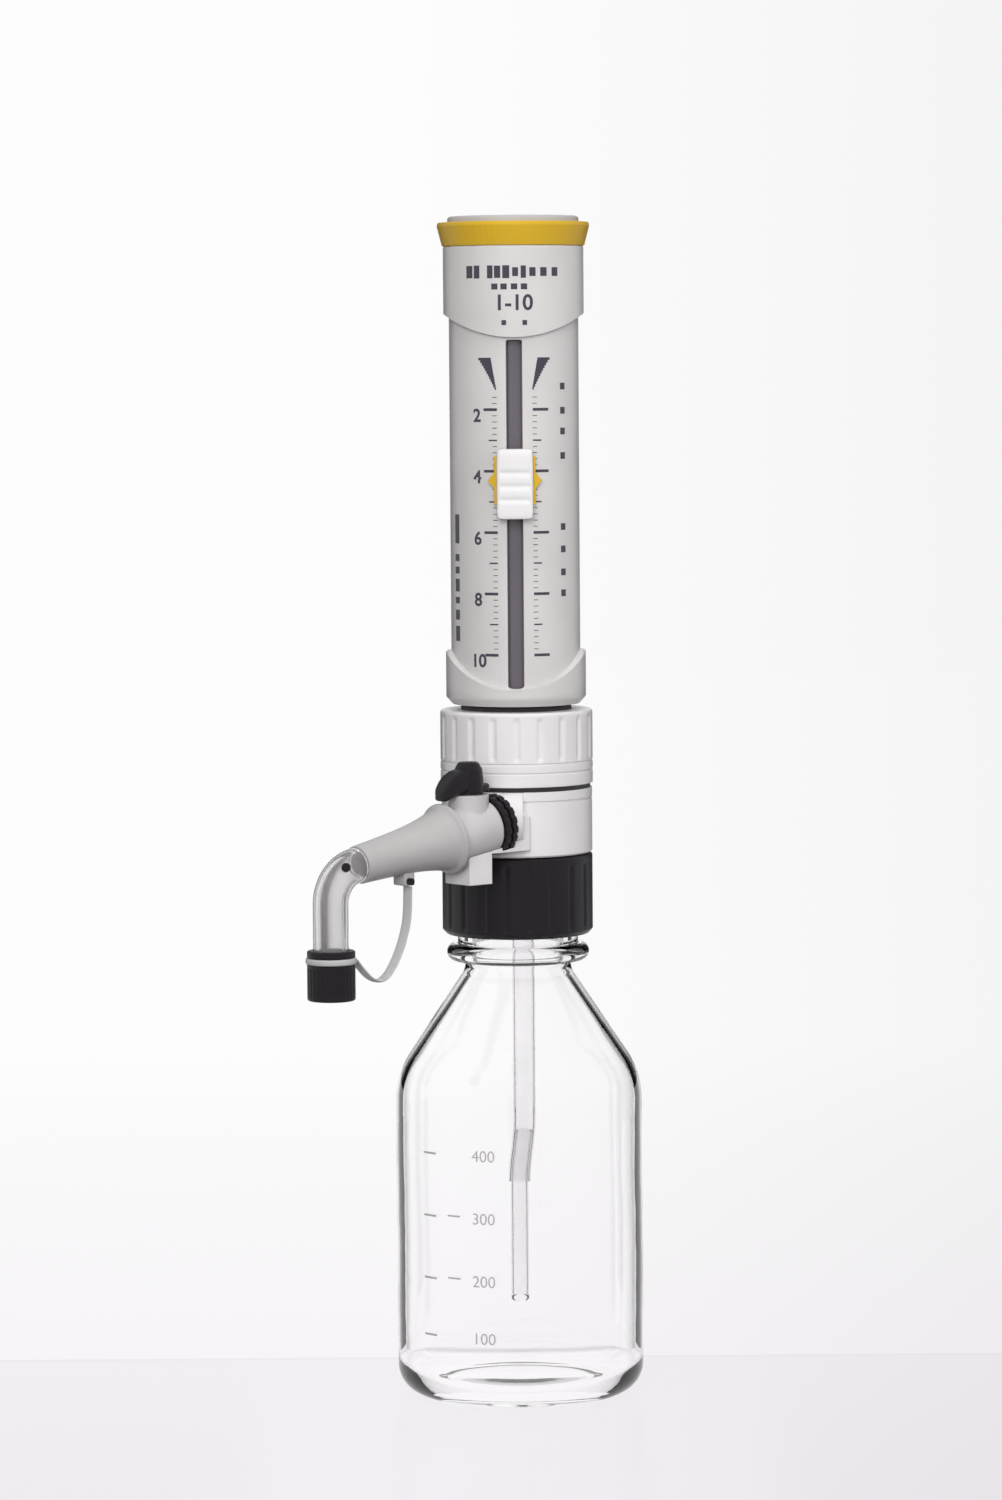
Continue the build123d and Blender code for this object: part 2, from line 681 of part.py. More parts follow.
# ================================================================ volume slider
neck_width = slot_width - 2 * slider_neck_gap
with BuildPart() as volume_slider:
    with BuildSketch(Plane.XZ.offset(slider_back)):
        with Locations((0, slider_middle)):
            RectangleRounded(slider_width, slider_height, 1.2)
    extrude(amount=slider_thickness)
    # front edges softened, finger grooves across the face, bevelled foot
    fillet(volume_slider.faces().sort_by(Axis.Y)[0].edges(), 0.9)
    with BuildSketch(Plane.YZ.offset(-slider_width / 2 - 1)):
        with Locations(
            (-slider_front, pointer_at + 1.6),
            (-slider_front, pointer_at - 2.0),
            (-slider_front, pointer_at - 5.6),
        ):
            Circle(0.8)
        with BuildLine():
            Polyline(
                (-slider_back + 0.1, slider_middle - slider_height / 2 + 5.0),
                (-slider_back + 0.1, slider_middle - slider_height / 2 - 0.1),
                (-slider_back - 2.4, slider_middle - slider_height / 2 - 0.1),
                close=True,
            )
        make_face()
    extrude(amount=slider_width + 2, mode=Mode.SUBTRACT)
    # neck that runs in the slot
    with BuildSketch(Plane.XZ.offset(lug_front)):
        with Locations((0, pointer_at)):
            Rectangle(neck_width, slider_lug_height)
    extrude(amount=slider_back - lug_front)
    with BuildSketch(Plane.XZ.offset(lug_front)):
        with Locations((0, pointer_at)):
            Circle(1.2 + fit_gap)
    extrude(amount=5.0, mode=Mode.SUBTRACT)
save(volume_slider.part, "volume_slider")

# Yellow pointer plate between slider and sleeve, with an arrow on each side.
with BuildPart() as slider_pointer:
    with BuildSketch(Plane.XZ.offset(slider_face)):
        with Locations((0, pointer_at)):
            Rectangle(pointer_width - 2 * pointer_tip, pointer_height)
        with BuildLine():
            Polyline(
                (-pointer_width / 2, pointer_at),
                (-pointer_width / 2 + pointer_tip + 0.1, pointer_at - 2.7),
                (-pointer_width / 2 + pointer_tip + 0.1, pointer_at + 2.7),
                close=True,
            )
        make_face()
        with BuildLine():
            Polyline(
                (pointer_width / 2, pointer_at),
                (pointer_width / 2 - pointer_tip - 0.1, pointer_at - 2.7),
                (pointer_width / 2 - pointer_tip - 0.1, pointer_at + 2.7),
                close=True,
            )
        make_face()
        with Locations((0, pointer_at)):
            Rectangle(neck_width + 2 * fit_gap, slider_lug_height + 2 * fit_gap, mode=Mode.SUBTRACT)
    extrude(amount=pointer_thickness - fit_gap)
save(slider_pointer.part, "slider_pointer")

# Stop lug behind the slot, screwed to the neck. It meets the stop flange of
# the guard tube, and its side tooth points at the rack.
with BuildPart() as slider_lug:
    with BuildSketch(Plane.XZ.offset(lug_back)):
        with Locations((0, pointer_at)):
            Rectangle(8.0, slider_lug_height)
        with BuildLine():
            Polyline(
                (3.9, pointer_at - 1.0),
                (rack_left - 0.2, pointer_at),
                (3.9, pointer_at + 1.0),
                close=True,
            )
        make_face()
        with Locations((0, pointer_at)):
            Circle(1.2 + fit_gap, mode=Mode.SUBTRACT)
    extrude(amount=lug_front - lug_back)
save(slider_lug.part, "slider_lug")

with BuildPart() as slider_screw:
    with BuildSketch(Plane.XZ.offset(lug_back + 0.1)):
        with Locations((0, pointer_at)):
            Circle(1.2)
    extrude(amount=lug_front + 4.5 - lug_back)
save(slider_screw.part, "slider_screw")

# ================================================================ top cap
with BuildPart() as top_cap:
    with BuildSketch(Plane.XZ):
        with BuildLine():
            Polyline(
                (0, cap_low),
                (cap_low_radius, cap_low),
                (cap_high_radius, cap_high - 0.9),
                (cap_high_radius - 0.2, cap_high),
                (0, cap_high),
                close=True,
            )
        make_face()
    revolve(axis=Axis.Z)
    add_ring(sleeve_bore - fit_gap, sleeve_bore - cap_skirt_wall, cap_low - cap_skirt_depth, cap_low)
    add_ring(cover_radius + 0.1, 0, cover_low, cap_high + 1, mode=Mode.SUBTRACT)
    add_ring(rod_radius + fit_gap, 0, cap_low - 1, rod_high, mode=Mode.SUBTRACT)
save(top_cap.part, "top_cap")

with BuildPart() as cap_cover:
    add_ring(cover_radius, 0, cover_low, cap_high + cover_stand)
    fillet(cap_cover.edges().filter_by(GeomType.CIRCLE).group_by(Axis.Z)[-1], 0.9)
save(cap_cover.part, "cap_cover")

with BuildPart() as calibration_bush:
    add_ring(bush_radius, rod_radius + fit_gap, cap_low - bush_height, cap_low)
    with BuildSketch(Plane.XY.offset(cap_low - bush_height)):
        with PolarLocations(bush_radius, 16):
            Circle(0.6)
    extrude(amount=bush_height, mode=Mode.SUBTRACT)
save(calibration_bush.part, "calibration_bush")

with BuildPart() as rod_nut:
    with BuildSketch(Plane.XY.offset(cap_low - bush_height - rod_nut_height)):
        RegularPolygon(rod_nut_radius, 6)
        Circle(rod_radius + fit_gap, mode=Mode.SUBTRACT)
    extrude(amount=rod_nut_height)
save(rod_nut.part, "rod_nut")

# ================================================================ discharge valve
# Insert in the boss: seat, ball and the spring that closes it.
seat_start = -boss_depth + 6.4
seat_end = seat_start + 2.4
seat_outer = discharge_ball_radius + 0.9 - fit_gap
with BuildPart() as discharge_seat:
    add_nozzle_ring(seat_outer, 1.2, seat_start, seat_end)
    with BuildSketch(nozzle_cut):
        with BuildLine():
            Polyline(
                (seat_end - 1.0, 0),
                (seat_end - 1.0, 1.2),
                (seat_end, 2.1),
                (seat_end + 0.1, 0),
                close=True,
            )
        make_face()
    revolve(axis=nozzle_axis, mode=Mode.SUBTRACT)
save(discharge_seat.part, "discharge_seat")

ball_place = seat_end + discharge_ball_radius * 0.55
with BuildPart() as discharge_ball:
    with Locations(nozzle_start + nozzle_way * ball_place):
        Sphere(discharge_ball_radius)
save(discharge_ball.part, "discharge_ball")

spring_start = ball_place + 1.6
spring_length = lock_ring_length - spring_start - spring_wire / 2 - 0.05
spring_plane = nozzle.offset(spring_start)
with BuildPart() as discharge_spring:
    with BuildLine():
        coil = Helix(
            spring_length / spring_turns,
            spring_length,
            spring_radius,
            center=spring_plane.origin,
            direction=nozzle_way,
        )
    with BuildSketch(Plane(origin=coil @ 0, z_dir=coil % 0)):
        Circle(spring_wire / 2)
    sweep(is_frenet=True)
save(discharge_spring.part, "discharge_spring")

# ================================================================ nozzle
# Black lock ring with finger grooves and a turned line round its middle.
lock_line = (lock_ring_length - lock_line_width) / 2
with BuildPart() as lock_ring:
    add_nozzle_ring(lock_ring_radius, discharge_ball_radius + 1.2, 0, lock_ring_length)
    add_nozzle_ring(
        lock_ring_radius + 1, lock_ring_radius - lock_line_depth,
        lock_line, lock_line + lock_line_width, mode=Mode.SUBTRACT,
    )
    with BuildSketch(nozzle):
        with PolarLocations(lock_ring_radius + lock_groove_radius * 0.4, lock_groove_count):
            Circle(lock_groove_radius)
    extrude(amount=lock_ring_length, mode=Mode.SUBTRACT)
save(lock_ring.part, "lock_ring")

# Stopcock housing: a rounded grey barrel with the vertical seat of the plug.
housing_end = cone_start + cone_grip
plug_seat_low = plug_centre.Z - 7.6
housing_top = plug_centre.Z + housing_radius + 3.2
with BuildPart() as stopcock_housing:
    add_nozzle_ring(housing_radius, 0, lock_ring_length, cone_start - fit_gap)
    fillet(stopcock_housing.edges().filter_by(GeomType.CIRCLE), 1.2)
    add_nozzle_ring(grip_radius, 0, cone_start - 1.0, housing_end)
    add_ring(plug_radius + 2.4, 0, plug_centre.Z, housing_top, centre=(plug_centre.X, plug_centre.Y))
    add_nozzle_ring(flow_radius, 0, lock_ring_length - 1, housing_end + 1, mode=Mode.SUBTRACT)
    add_nozzle_ring(3.0, 0, housing_end - 5.0, housing_end + 1, mode=Mode.SUBTRACT)
    add_ring(
        plug_radius + ring_gap, 0, plug_seat_low, housing_top + 1,
        mode=Mode.SUBTRACT, centre=(plug_centre.X, plug_centre.Y),
    )
save(stopcock_housing.part, "stopcock_housing")

# Plug with a cross bore: along the nozzle it is open, across it is shut.
stem_high = housing_top + 6.0
with BuildPart() as stopcock_plug:
    add_ring(plug_radius, 0, plug_seat_low + 0.1, housing_top, centre=(plug_centre.X, plug_centre.Y))
    cross_start = plug_place - plug_radius - 1
    add_nozzle_ring(flow_radius, 0, cross_start, cross_start + 2 * plug_radius + 2, mode=Mode.SUBTRACT)
    stem_foot = (plug_centre.X, plug_centre.Y, housing_top)
    with BuildSketch(Plane(origin=stem_foot, x_dir=across, z_dir=(0, 0, 1))):
        Rectangle(4.4, 4.4)
    extrude(amount=stem_high - housing_top)
save(stopcock_plug.part, "stopcock_plug")

# Lever: a hub on the plug's square stem, a wing that slopes down to its tip
# over the nozzle and a short flat tail behind.
hub_low = housing_top + 0.3
lever_top = Plane(origin=(plug_centre.X, plug_centre.Y, hub_low), x_dir=across, z_dir=(0, 0, 1))
lever_side = Plane(origin=lever_top.origin, x_dir=across, z_dir=-nozzle_right)
droop_start = plug_radius + 2.4 + play
with BuildPart() as stopcock_lever:
    with BuildSketch(lever_side.offset(-lever_half)):
        with BuildLine():
            Polyline(
                (0, 0),
                (droop_start, 0),
                (droop_start, -lever_droop),
                (lever_length * 0.7, -lever_droop),
                (lever_length - 1.2, -lever_droop * 0.2),
                (lever_length, lever_height * 0.18),
                (lever_length * 0.8, lever_height * 0.52),
                (lever_hub_radius + 0.2, lever_height - 2.6),
                (0, lever_height - 2.6),
                close=True,
            )
        make_face()
    extrude(amount=2 * lever_half)
    along_wing = stopcock_lever.edges().filter_by(Axis(lever_top.origin, nozzle_right))
    fillet(along_wing.sort_by(Axis(lever_top.origin, across))[-3:], 0.9)
    with BuildSketch(lever_top):
        Circle(lever_hub_radius)
    extrude(amount=lever_height)
    fillet(stopcock_lever.edges().filter_by(GeomType.CIRCLE).group_by(Axis.Z)[-1], 1.6)
    with BuildSketch(lever_top):
        with BuildLine():
            Polyline((-lever_tail, -2.8), (-lever_tail, 2.8), (0, 3.6), (0, -3.6), close=True)
        make_face()
    extrude(amount=lever_height * 0.3)
    with BuildSketch(lever_top):
        Rectangle(4.4 + 2 * fit_gap, 4.4 + 2 * fit_gap)
    extrude(amount=stem_high - hub_low + 0.1, mode=Mode.SUBTRACT)
save(stopcock_lever.part, "stopcock_lever")

# Nozzle cover: a tapering grey shell that grips the housing at its large end.
cone_middle = (cone_start + cone_end) / 2 - 4.5
with BuildPart() as nozzle_cover:
    with BuildSketch(nozzle_cut):
        with BuildLine():
            ThreePointArc(
                (cone_start + cone_rim_length + 1.0, cone_large_radius),
                (cone_middle, cone_middle_radius),
                (cone_end, cone_small_radius),
            )
            Line((cone_end, cone_small_radius), (cone_end, cone_small_radius - cone_wall))
            ThreePointArc(
                (cone_end, cone_small_radius - cone_wall),
                (cone_middle + cone_grip, cone_middle_radius - cone_wall - 0.5),
                (housing_end, grip_radius - 0.5),
            )
            Polyline(
                (housing_end, grip_radius - 0.5),
                (housing_end, grip_radius + fit_gap),
                (cone_start, grip_radius + fit_gap),
                (cone_start, cone_rim_radius),
                (cone_start + cone_rim_length, cone_rim_radius),
                (cone_start + cone_rim_length + 1.0, cone_large_radius),
            )
        make_face()
    revolve(axis=nozzle_axis)
    # ear under the cone for the tether's pin
    with BuildSketch(nozzle_side.offset(-ear_half)):
        with BuildLine():
            Polyline(
                (ear_place - ear_half, ear_height - ear_drop),
                (ear_place + ear_half, ear_height - ear_drop),
                (ear_place + ear_half + 0.5, -ear_drop),
                (ear_place - ear_half - 0.5, -ear_drop),
                close=True,
            )
        make_face()
    extrude(amount=2 * ear_half)
save(nozzle_cover.part, "nozzle_cover")

with BuildPart() as tether_pin:
    with BuildSketch(nozzle_side.offset(-ear_half - 1.6)):
        with Locations((ear_place, 1.5 - ear_drop)):
            Circle(1.2)
    extrude(amount=1.6 - fit_gap)
save(tether_pin.part, "tether_pin")

with BuildPart() as discharge_tube:
    add_nozzle_ring(2.9, 1.9, housing_end - 5.0, cone_end - 9.0)
save(discharge_tube.part, "discharge_tube")

# Spout: thick clear tube that bends down, with a stub plugged into the cover.
spout_drop = -spout_place * tan(dip)
vent_place = ((cone_end + 2.6) * cos(dip), -(cone_end + 2.6) * sin(dip) + 1.8)
with BuildPart() as spout:
    with BuildLine(nozzle_side):
        FilletPolyline(
            (cone_end * cos(dip), -cone_end * sin(dip)),
            (spout_place, spout_drop),
            (spout_place, spout_low - nozzle_start.Z),
            radius=spout_bend,
        )
    with BuildSketch(nozzle.offset(cone_end)):
        Circle(spout_radius)
        Circle(spout_bore, mode=Mode.SUBTRACT)
    sweep()
    add_nozzle_ring(cone_small_radius - cone_wall - 0.1, 2.9 + fit_gap, cone_end - 13, cone_end)
    with BuildSketch(nozzle_side.offset(-spout_radius - 0.9)):
        with Locations(vent_place):
            Circle(vent_radius)
    extrude(amount=vent_depth + 0.9, mode=Mode.SUBTRACT)
save(spout.part, "spout")

# Small black plug in the vent hole at the side of the spout's bend.
with BuildPart() as vent_plug:
    with BuildSketch(nozzle_side.offset(-spout_radius - 0.9)):
        with Locations(vent_place):
            Circle(vent_radius - fit_gap)
    extrude(amount=vent_depth + 0.9)
save(vent_plug.part, "vent_plug")

# ================================================================ outlet cap
with BuildPart() as outlet_cap:
    spot = (spout_centre.X, spout_centre.Y)
    add_ring(outlet_cap_radius, 0, outlet_cap_low, outlet_cap_high, centre=spot)
    chamfer(outlet_cap.edges().filter_by(GeomType.CIRCLE), 0.5)
    add_ring(
        outlet_cap_radius + 1, tether_groove_radius, tether_ring_low, tether_ring_high,
        mode=Mode.SUBTRACT, centre=spot,
    )
    add_ring(
        spout_radius + running_gap, 0, spout_low - play, outlet_cap_high + 1,
        mode=Mode.SUBTRACT, centre=spot,
    )
    with BuildSketch(Plane.XY.offset(outlet_cap_low + 1.2)):
        with Locations(spot):
            with PolarLocations(outlet_cap_radius + 0.35, 24):
                Circle(0.6)
    extrude(amount=tether_ring_low - outlet_cap_low - 2.4, mode=Mode.SUBTRACT)
save(outlet_cap.part, "outlet_cap")

with BuildPart() as tether_ring:
    add_ring(
        tether_ring_radius, tether_groove_radius + fit_gap, tether_ring_low + 0.05, tether_ring_high - 0.05,
        centre=(spout_centre.X, spout_centre.Y),
    )
save(tether_ring.part, "tether_ring")

# Tether from the cap's ring down, round and up to the ear under the cover. The
# points lie in the nozzle's upright plane, as distance out and height.
tether_points = [
    (spout_place - tether_ring_radius - 1.1, -42.3),
    (60.4, -46.9),
    (56.0, -50.2),
    (51.6, -50.1),
    (47.8, -46.1),
    (44.6, -40.5),
    (42.4, -34.9),
    (40.9, -28.7),
    (40.8, -19.1),
]
tether_radii = []
for before, corner, after in zip(tether_points, tether_points[1:], tether_points[2:]):
    run_in = Vector(corner) - Vector(before)
    run_out = Vector(after) - Vector(corner)
    half_turn = run_in.get_angle(run_out) / 2
    tether_radii.append(0.45 * min(run_in.length, run_out.length) / tan(radians(half_turn)))
print("tether radii", [round(radius, 1) for radius in tether_radii])
with BuildPart() as tether:
    with BuildLine(nozzle_side) as tether_line:
        FilletPolyline(*tether_points, radius=tether_radii)
    with BuildSketch(Plane(origin=tether_line.line @ 0, z_dir=tether_line.line % 0)):
        Circle(tether_diameter / 2)
    sweep()
tether_length = tether_line.wire().length
tether_swept = pi * tether_diameter**2 / 4 * tether_length
print("tether volume", round(tether.part.volume, 2), "of", round(tether_swept, 2))
save(tether.part, "tether")

slider_rise = (set_volume_ml - least_volume_ml) * ml_travel
print("travel per mL", round(ml_travel, 3), "slider rise", round(slider_rise, 3))
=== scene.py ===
import math

import bmesh
import bpy
import numpy as np
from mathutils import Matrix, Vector


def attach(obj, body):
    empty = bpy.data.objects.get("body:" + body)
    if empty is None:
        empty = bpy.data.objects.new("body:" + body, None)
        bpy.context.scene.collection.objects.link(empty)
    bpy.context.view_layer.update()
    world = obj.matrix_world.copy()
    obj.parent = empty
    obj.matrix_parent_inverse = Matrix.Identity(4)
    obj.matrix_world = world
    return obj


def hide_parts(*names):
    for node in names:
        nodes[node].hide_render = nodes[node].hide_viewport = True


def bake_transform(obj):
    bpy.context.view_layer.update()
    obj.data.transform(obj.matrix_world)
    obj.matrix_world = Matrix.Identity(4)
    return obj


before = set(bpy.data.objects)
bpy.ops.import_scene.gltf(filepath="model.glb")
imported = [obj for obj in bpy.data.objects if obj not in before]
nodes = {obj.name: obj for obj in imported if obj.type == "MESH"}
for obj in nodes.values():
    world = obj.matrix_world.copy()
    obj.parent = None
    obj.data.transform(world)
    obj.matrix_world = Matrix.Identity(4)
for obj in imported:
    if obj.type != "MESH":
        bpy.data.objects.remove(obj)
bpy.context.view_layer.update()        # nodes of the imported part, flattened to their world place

# ------------------------ camera
# A long lens stands almost two metres off, at the height of the slider, and looks
# slightly down at the bottle.
camera_distance = 1.8
camera_height = 0.364
picture_long_side = 1500
focal_in_pixels = 5187
camera_pitch = math.radians(4.41)
camera_roll = math.radians(0.42)
camera_data = bpy.data.cameras.new("camera")
camera_data.sensor_width = 36.0
camera_data.lens = focal_in_pixels / picture_long_side * camera_data.sensor_width
camera = bpy.data.objects.new("camera", camera_data)
camera.location = (-0.0044, -camera_distance, camera_height)
camera.rotation_euler = (math.pi / 2 - camera_pitch, camera_roll, 0)
bpy.context.scene.collection.objects.link(camera)
bpy.context.scene.camera = camera
bpy.context.scene.view_settings.view_transform = "Standard"

# ------------------------ tether
# The outlet cap hangs on a soft flat strap of natural polyethylene, moulded in
# one with the ring on the cap and pinned to the ear under the nozzle cover.
nozzle_start = np.array([-0.006, -0.028, 0.2025])
nozzle_bearing = math.radians(50.0)
nozzle_dip = math.radians(9.5)
outward = np.array([-math.sin(nozzle_bearing), -math.cos(nozzle_bearing), 0.0])
nozzle_way = outward * math.cos(nozzle_dip) + np.array([0, 0, -math.sin(nozzle_dip)])
nozzle_right = np.array([math.cos(nozzle_bearing), -math.sin(nozzle_bearing), 0.0])
tether_route = [
    (0.0643, 0.1602), (0.0604, 0.1556), (0.0560, 0.1523), (0.0516, 0.1524), (0.0478, 0.1564),
    (0.0446, 0.1620), (0.0424, 0.1676), (0.0409, 0.1738), (0.0408, 0.1834),
]


def spline_line(route, name):
    """Points along a third-order NURBS spline with the route's (distance out, height) as control points."""
    curve = bpy.data.curves.new(name, "CURVE")
    curve.dimensions = "3D"
    spline = curve.splines.new("NURBS")
    spline.points.add(len(route) - 1)
    for point, (out, height) in zip(spline.points, route):
        place = nozzle_start + outward * out
        point.co = (place[0], place[1], height, 1.0)
    spline.order_u = 3
    spline.use_endpoint_u = True
    spline.resolution_u = 12
    holder = bpy.data.objects.new(name, curve)
    bpy.context.scene.collection.objects.link(holder)
    bpy.context.view_layer.update()
    mesh = bpy.data.meshes.new_from_object(holder)
    line = np.empty(len(mesh.vertices) * 3)
    mesh.vertices.foreach_get("co", line)
    bpy.data.objects.remove(holder)
    bpy.data.meshes.remove(mesh)
    return line.reshape(-1, 3)


def finish_mesh(name, points, faces, crease=38.0):
    """A piece from points and faces: points that fall together are merged, flat slivers dropped, faces
    turned outward, and all edges but those sharper than the crease smoothed."""
    mesh = bpy.data.meshes.new(name)
    mesh.from_pydata(points.tolist(), [], [tuple(dict.fromkeys(face)) for face in faces.tolist()])
    work = bmesh.new()
    work.from_mesh(mesh)
    bmesh.ops.remove_doubles(work, verts=work.verts, dist=2e-7)
    bmesh.ops.dissolve_degenerate(work, edges=work.edges, dist=1e-7)
    bmesh.ops.recalc_face_normals(work, faces=work.faces)
    work.to_mesh(mesh)
    work.free()
    mesh.shade_smooth()
    mesh.set_sharp_from_angle(angle=math.radians(crease))
    piece = bpy.data.objects.new(name, mesh)
    bpy.context.scene.collection.objects.link(piece)
    return piece


def grid_faces(rows, columns, wrap_rows, wrap_columns, first=0):
    """Faces between neighbours of a grid of points, numbered row by row from first."""
    index = first + np.arange(rows * columns).reshape(rows, columns)
    row = np.arange(rows if wrap_rows else rows - 1)[:, None]
    column = np.arange(columns if wrap_columns else columns - 1)[None, :]
    below = (row + 1) % rows
    beside = (column + 1) % columns
    corners = [index[row, column], index[row, beside], index[below, beside], index[below, column]]
    return np.stack(corners, axis=-1).reshape(-1, 4)


def add_surface(name, grid, wrap_rows=False, wrap_columns=True, crease=38.0):
    """A piece over one grid of points, whose rows or columns may close on themselves."""
    faces = grid_faces(grid.shape[0], grid.shape[1], wrap_rows, wrap_columns)
    return finish_mesh(name, grid.reshape(-1, 3), faces, crease)


def full_turn(count):
    """Even angles round a whole turn."""
    return np.linspace(0, 2 * math.pi, count, endpoint=False)


def tube_grid(line, half_widths, side_hint, around=24):
    """A closed tube: round each point p of the line, p + s * a * cos(angle) + u * b * sin(angle), where s
    and u are square to the line, s also to the hint, and the ends are drawn together to a point."""
    along = np.gradient(line, axis=0)
    along /= np.linalg.norm(along, axis=1, keepdims=True)
    side = np.cross(along, side_hint)
    side /= np.linalg.norm(side, axis=1, keepdims=True)
    up = np.cross(side, along)
    angle = full_turn(around)
    ring = side[:, None, :] * (np.cos(angle)[None, :, None] * half_widths[0])
    ring = ring + up[:, None, :] * (np.sin(angle)[None, :, None] * half_widths[1])
    rings = line[:, None, :] + ring
    first = np.repeat(line[:1, None, :], around, axis=1)
    last = np.repeat(line[-1:, None, :], around, axis=1)
    return np.concatenate([first, rings, last])


def link_nodes(tree, *links):
    """Makes links that are given as (node, its output, node, its input)."""
    for node, output, target, socket in links:
        tree.links.new(node.outputs[output], target.inputs[socket])


def add_node(tree, kind, operation=None, second=None, **values):
    """A shader node with its operation, its second input, and other inputs by name."""
    node = tree.nodes.new("ShaderNode" + kind)
    if operation is not None:
        node.operation = operation
    if second is not None:
        node.inputs[1].default_value = second
    for name, value in values.items():
        node.inputs[name.replace("_", " ")].default_value = value
    return node


def add_ramp(tree, first, last, start=0.0, end=1.0):
    """A ramp that passes evenly from one colour to another between two positions."""
    ramp = add_node(tree, "ValToRGB")
    for element, colour, position in zip(ramp.color_ramp.elements, (first, last), (start, end)):
        element.position = position
        element.color = (*colour, 1)
    return ramp


def new_finish(name, **values):
    """A material, its node tree and its shader, with the shader's inputs set by name."""
    material = bpy.data.materials.new(name)
    material.use_nodes = True
    shader = material.node_tree.nodes["Principled BSDF"]
    for socket, value in values.items():
        shader.inputs[socket.replace("_", " ")].default_value = value
    return material, material.node_tree, shader


def moulded(name, colour, roughness, contrast=0.04, soften=0.0, **values):
    """Moulded plastic: its colour drifts by the contrast over slow clouds, a fine noise lifts the surface,
    and the roughness follows the clouds. Soften rounds the drawn edges of a solid by that radius."""
    material, tree, shader = new_finish(name, **values)
    place = add_node(tree, "TexCoord")
    clouds = add_node(tree, "TexNoise", Scale=45.0, Detail=3.0)
    darker = [channel * (1 - contrast) for channel in colour]
    lighter = [min(1.0, channel * (1 + contrast)) for channel in colour]
    tint = add_ramp(tree, darker, lighter, 0.3, 0.7)
    fine = add_node(tree, "TexNoise", Scale=900.0, Detail=2.0)
    bump = add_node(tree, "Bump", Strength=0.2, Distance=0.0001)
    wear = add_node(tree, "MapRange", To_Min=roughness * 0.88, To_Max=min(1.0, roughness * 1.14))
    link_nodes(
        tree,
        (place, "Object", clouds, "Vector"),
        (place, "Object", fine, "Vector"),
        (clouds, "Fac", tint, "Fac"),
        (clouds, "Fac", wear, "Value"),
        (wear, "Result", shader, "Roughness"),
        (tint, "Color", shader, "Base Color"),
        (fine, "Fac", bump, "Height"),
        (bump, "Normal", shader, "Normal"),
    )
    if soften > 0:
        bevel = add_node(tree, "Bevel", Radius=soften)
        bevel.samples = 6
        link_nodes(tree, (bevel, "Normal", bump, "Normal"))
    return material


def paint(material, *pieces):
    """Gives whole pieces, or CAD nodes by name, one material."""
    for piece in pieces:
        target = nodes[piece] if isinstance(piece, str) else piece
        target.data.materials.clear()
        target.data.materials.append(material)


strap_half_size = (0.0006, 0.0023)
strap_finish = moulded("natural_polyethylene", (0.76, 0.76, 0.75), 0.42, Transmission_Weight=0.35)
tether_line = spline_line(tether_route, "tether_route")
tether = add_surface("tether_strap", tube_grid(tether_line, strap_half_size, nozzle_right))
paint(strap_finish, tether)
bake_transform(tether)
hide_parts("tether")

# ------------------------ studio
# A pale table whose far edge shows just behind the bottle, and a white ground
# beyond it, under three soft boxes. Dark flags behind draw the outline of the
# glass, and two dark cards take light off the left side and the undersides.
table_edge = 0.056
ground_white = (0.985, 0.98, 0.985)


def add_card(name, centre, width, height, facing, colour, roughness=0.5):
    """A flat card: a rectangle of the given width and height about a centre, square to the way it faces."""
    facing = np.array(facing, float)
    facing /= np.linalg.norm(facing)
    side = np.cross((0, 0, 1), facing)
    if np.linalg.norm(side) < 1e-6:
        side = np.array([1.0, 0, 0])
    side /= np.linalg.norm(side)
    rise = np.cross(facing, side)
    corners = [
        np.array(centre) + side * width / 2 * u + rise * height / 2 * v
        for u, v in ((-1, -1), (1, -1), (1, 1), (-1, 1))
    ]
    mesh = bpy.data.meshes.new(name)
    mesh.from_pydata([tuple(corner) for corner in corners], [], [(0, 1, 2, 3)])
    card = bpy.data.objects.new(name, mesh)
    bpy.context.scene.collection.objects.link(card)
    finish, tree, shader = new_finish(name, Base_Color=(*colour, 1), Roughness=roughness)
    paint(finish, card)
    return card, tree, shader


def hide_from(card, *rays):
    """Hides a card or lamp from some kinds of rays."""
    for kind in rays:
        setattr(card, "visible_" + kind, False)


def seen_rays(tree):
    """1 for camera, glossy and transmission rays, 0 for the rays that light the scene."""
    rays = add_node(tree, "LightPath")
    total, output = rays, "Is Camera Ray"
    for kind in ("Is Glossy Ray", "Is Transmission Ray"):
        both = add_node(tree, "Math", "MAXIMUM")
        link_nodes(tree, (total, output, both, 0), (rays, kind, both, 1))
        total, output = both, 0
    return total


# The table is lighter in front of its edge than the ground just behind it. Both
# glow for the rays that are seen and darken evenly to the right, by the bearing
# from the camera, as painted shade; through the glass the edge shows as a faint darker line.
floor_grey = (0.30, 0.29, 0.30)
tree, shader = add_card("floor", (0, 0, -0.0001), 8.0, 8.0, (0, 0, 1), floor_grey, 0.24)[1:]
place = add_node(tree, "TexCoord")
split = add_node(tree, "SeparateXYZ")
edge = add_node(tree, "MapRange", From_Min=table_edge - 0.002, From_Max=table_edge + 0.004)
rise = add_node(tree, "MapRange", From_Min=table_edge, From_Max=0.9)
ground = add_ramp(tree, (0.925, 0.905, 0.925), ground_white)
table = add_node(tree, "Mix")
table.data_type = "RGBA"
table.inputs["A"].default_value = (0.98, 0.955, 0.98, 1)
depth = add_node(tree, "Math", "ADD", camera_distance)
bearing = add_node(tree, "Math", "DIVIDE")
fall = add_node(tree, "MapRange", From_Min=-0.02, From_Max=0.12, To_Min=1.0, To_Max=0.91)
glow = add_node(tree, "Emission")
through = add_node(tree, "LightPath")
offset = add_node(tree, "Math", "SUBTRACT", table_edge)
size = add_node(tree, "Math", "ABSOLUTE")
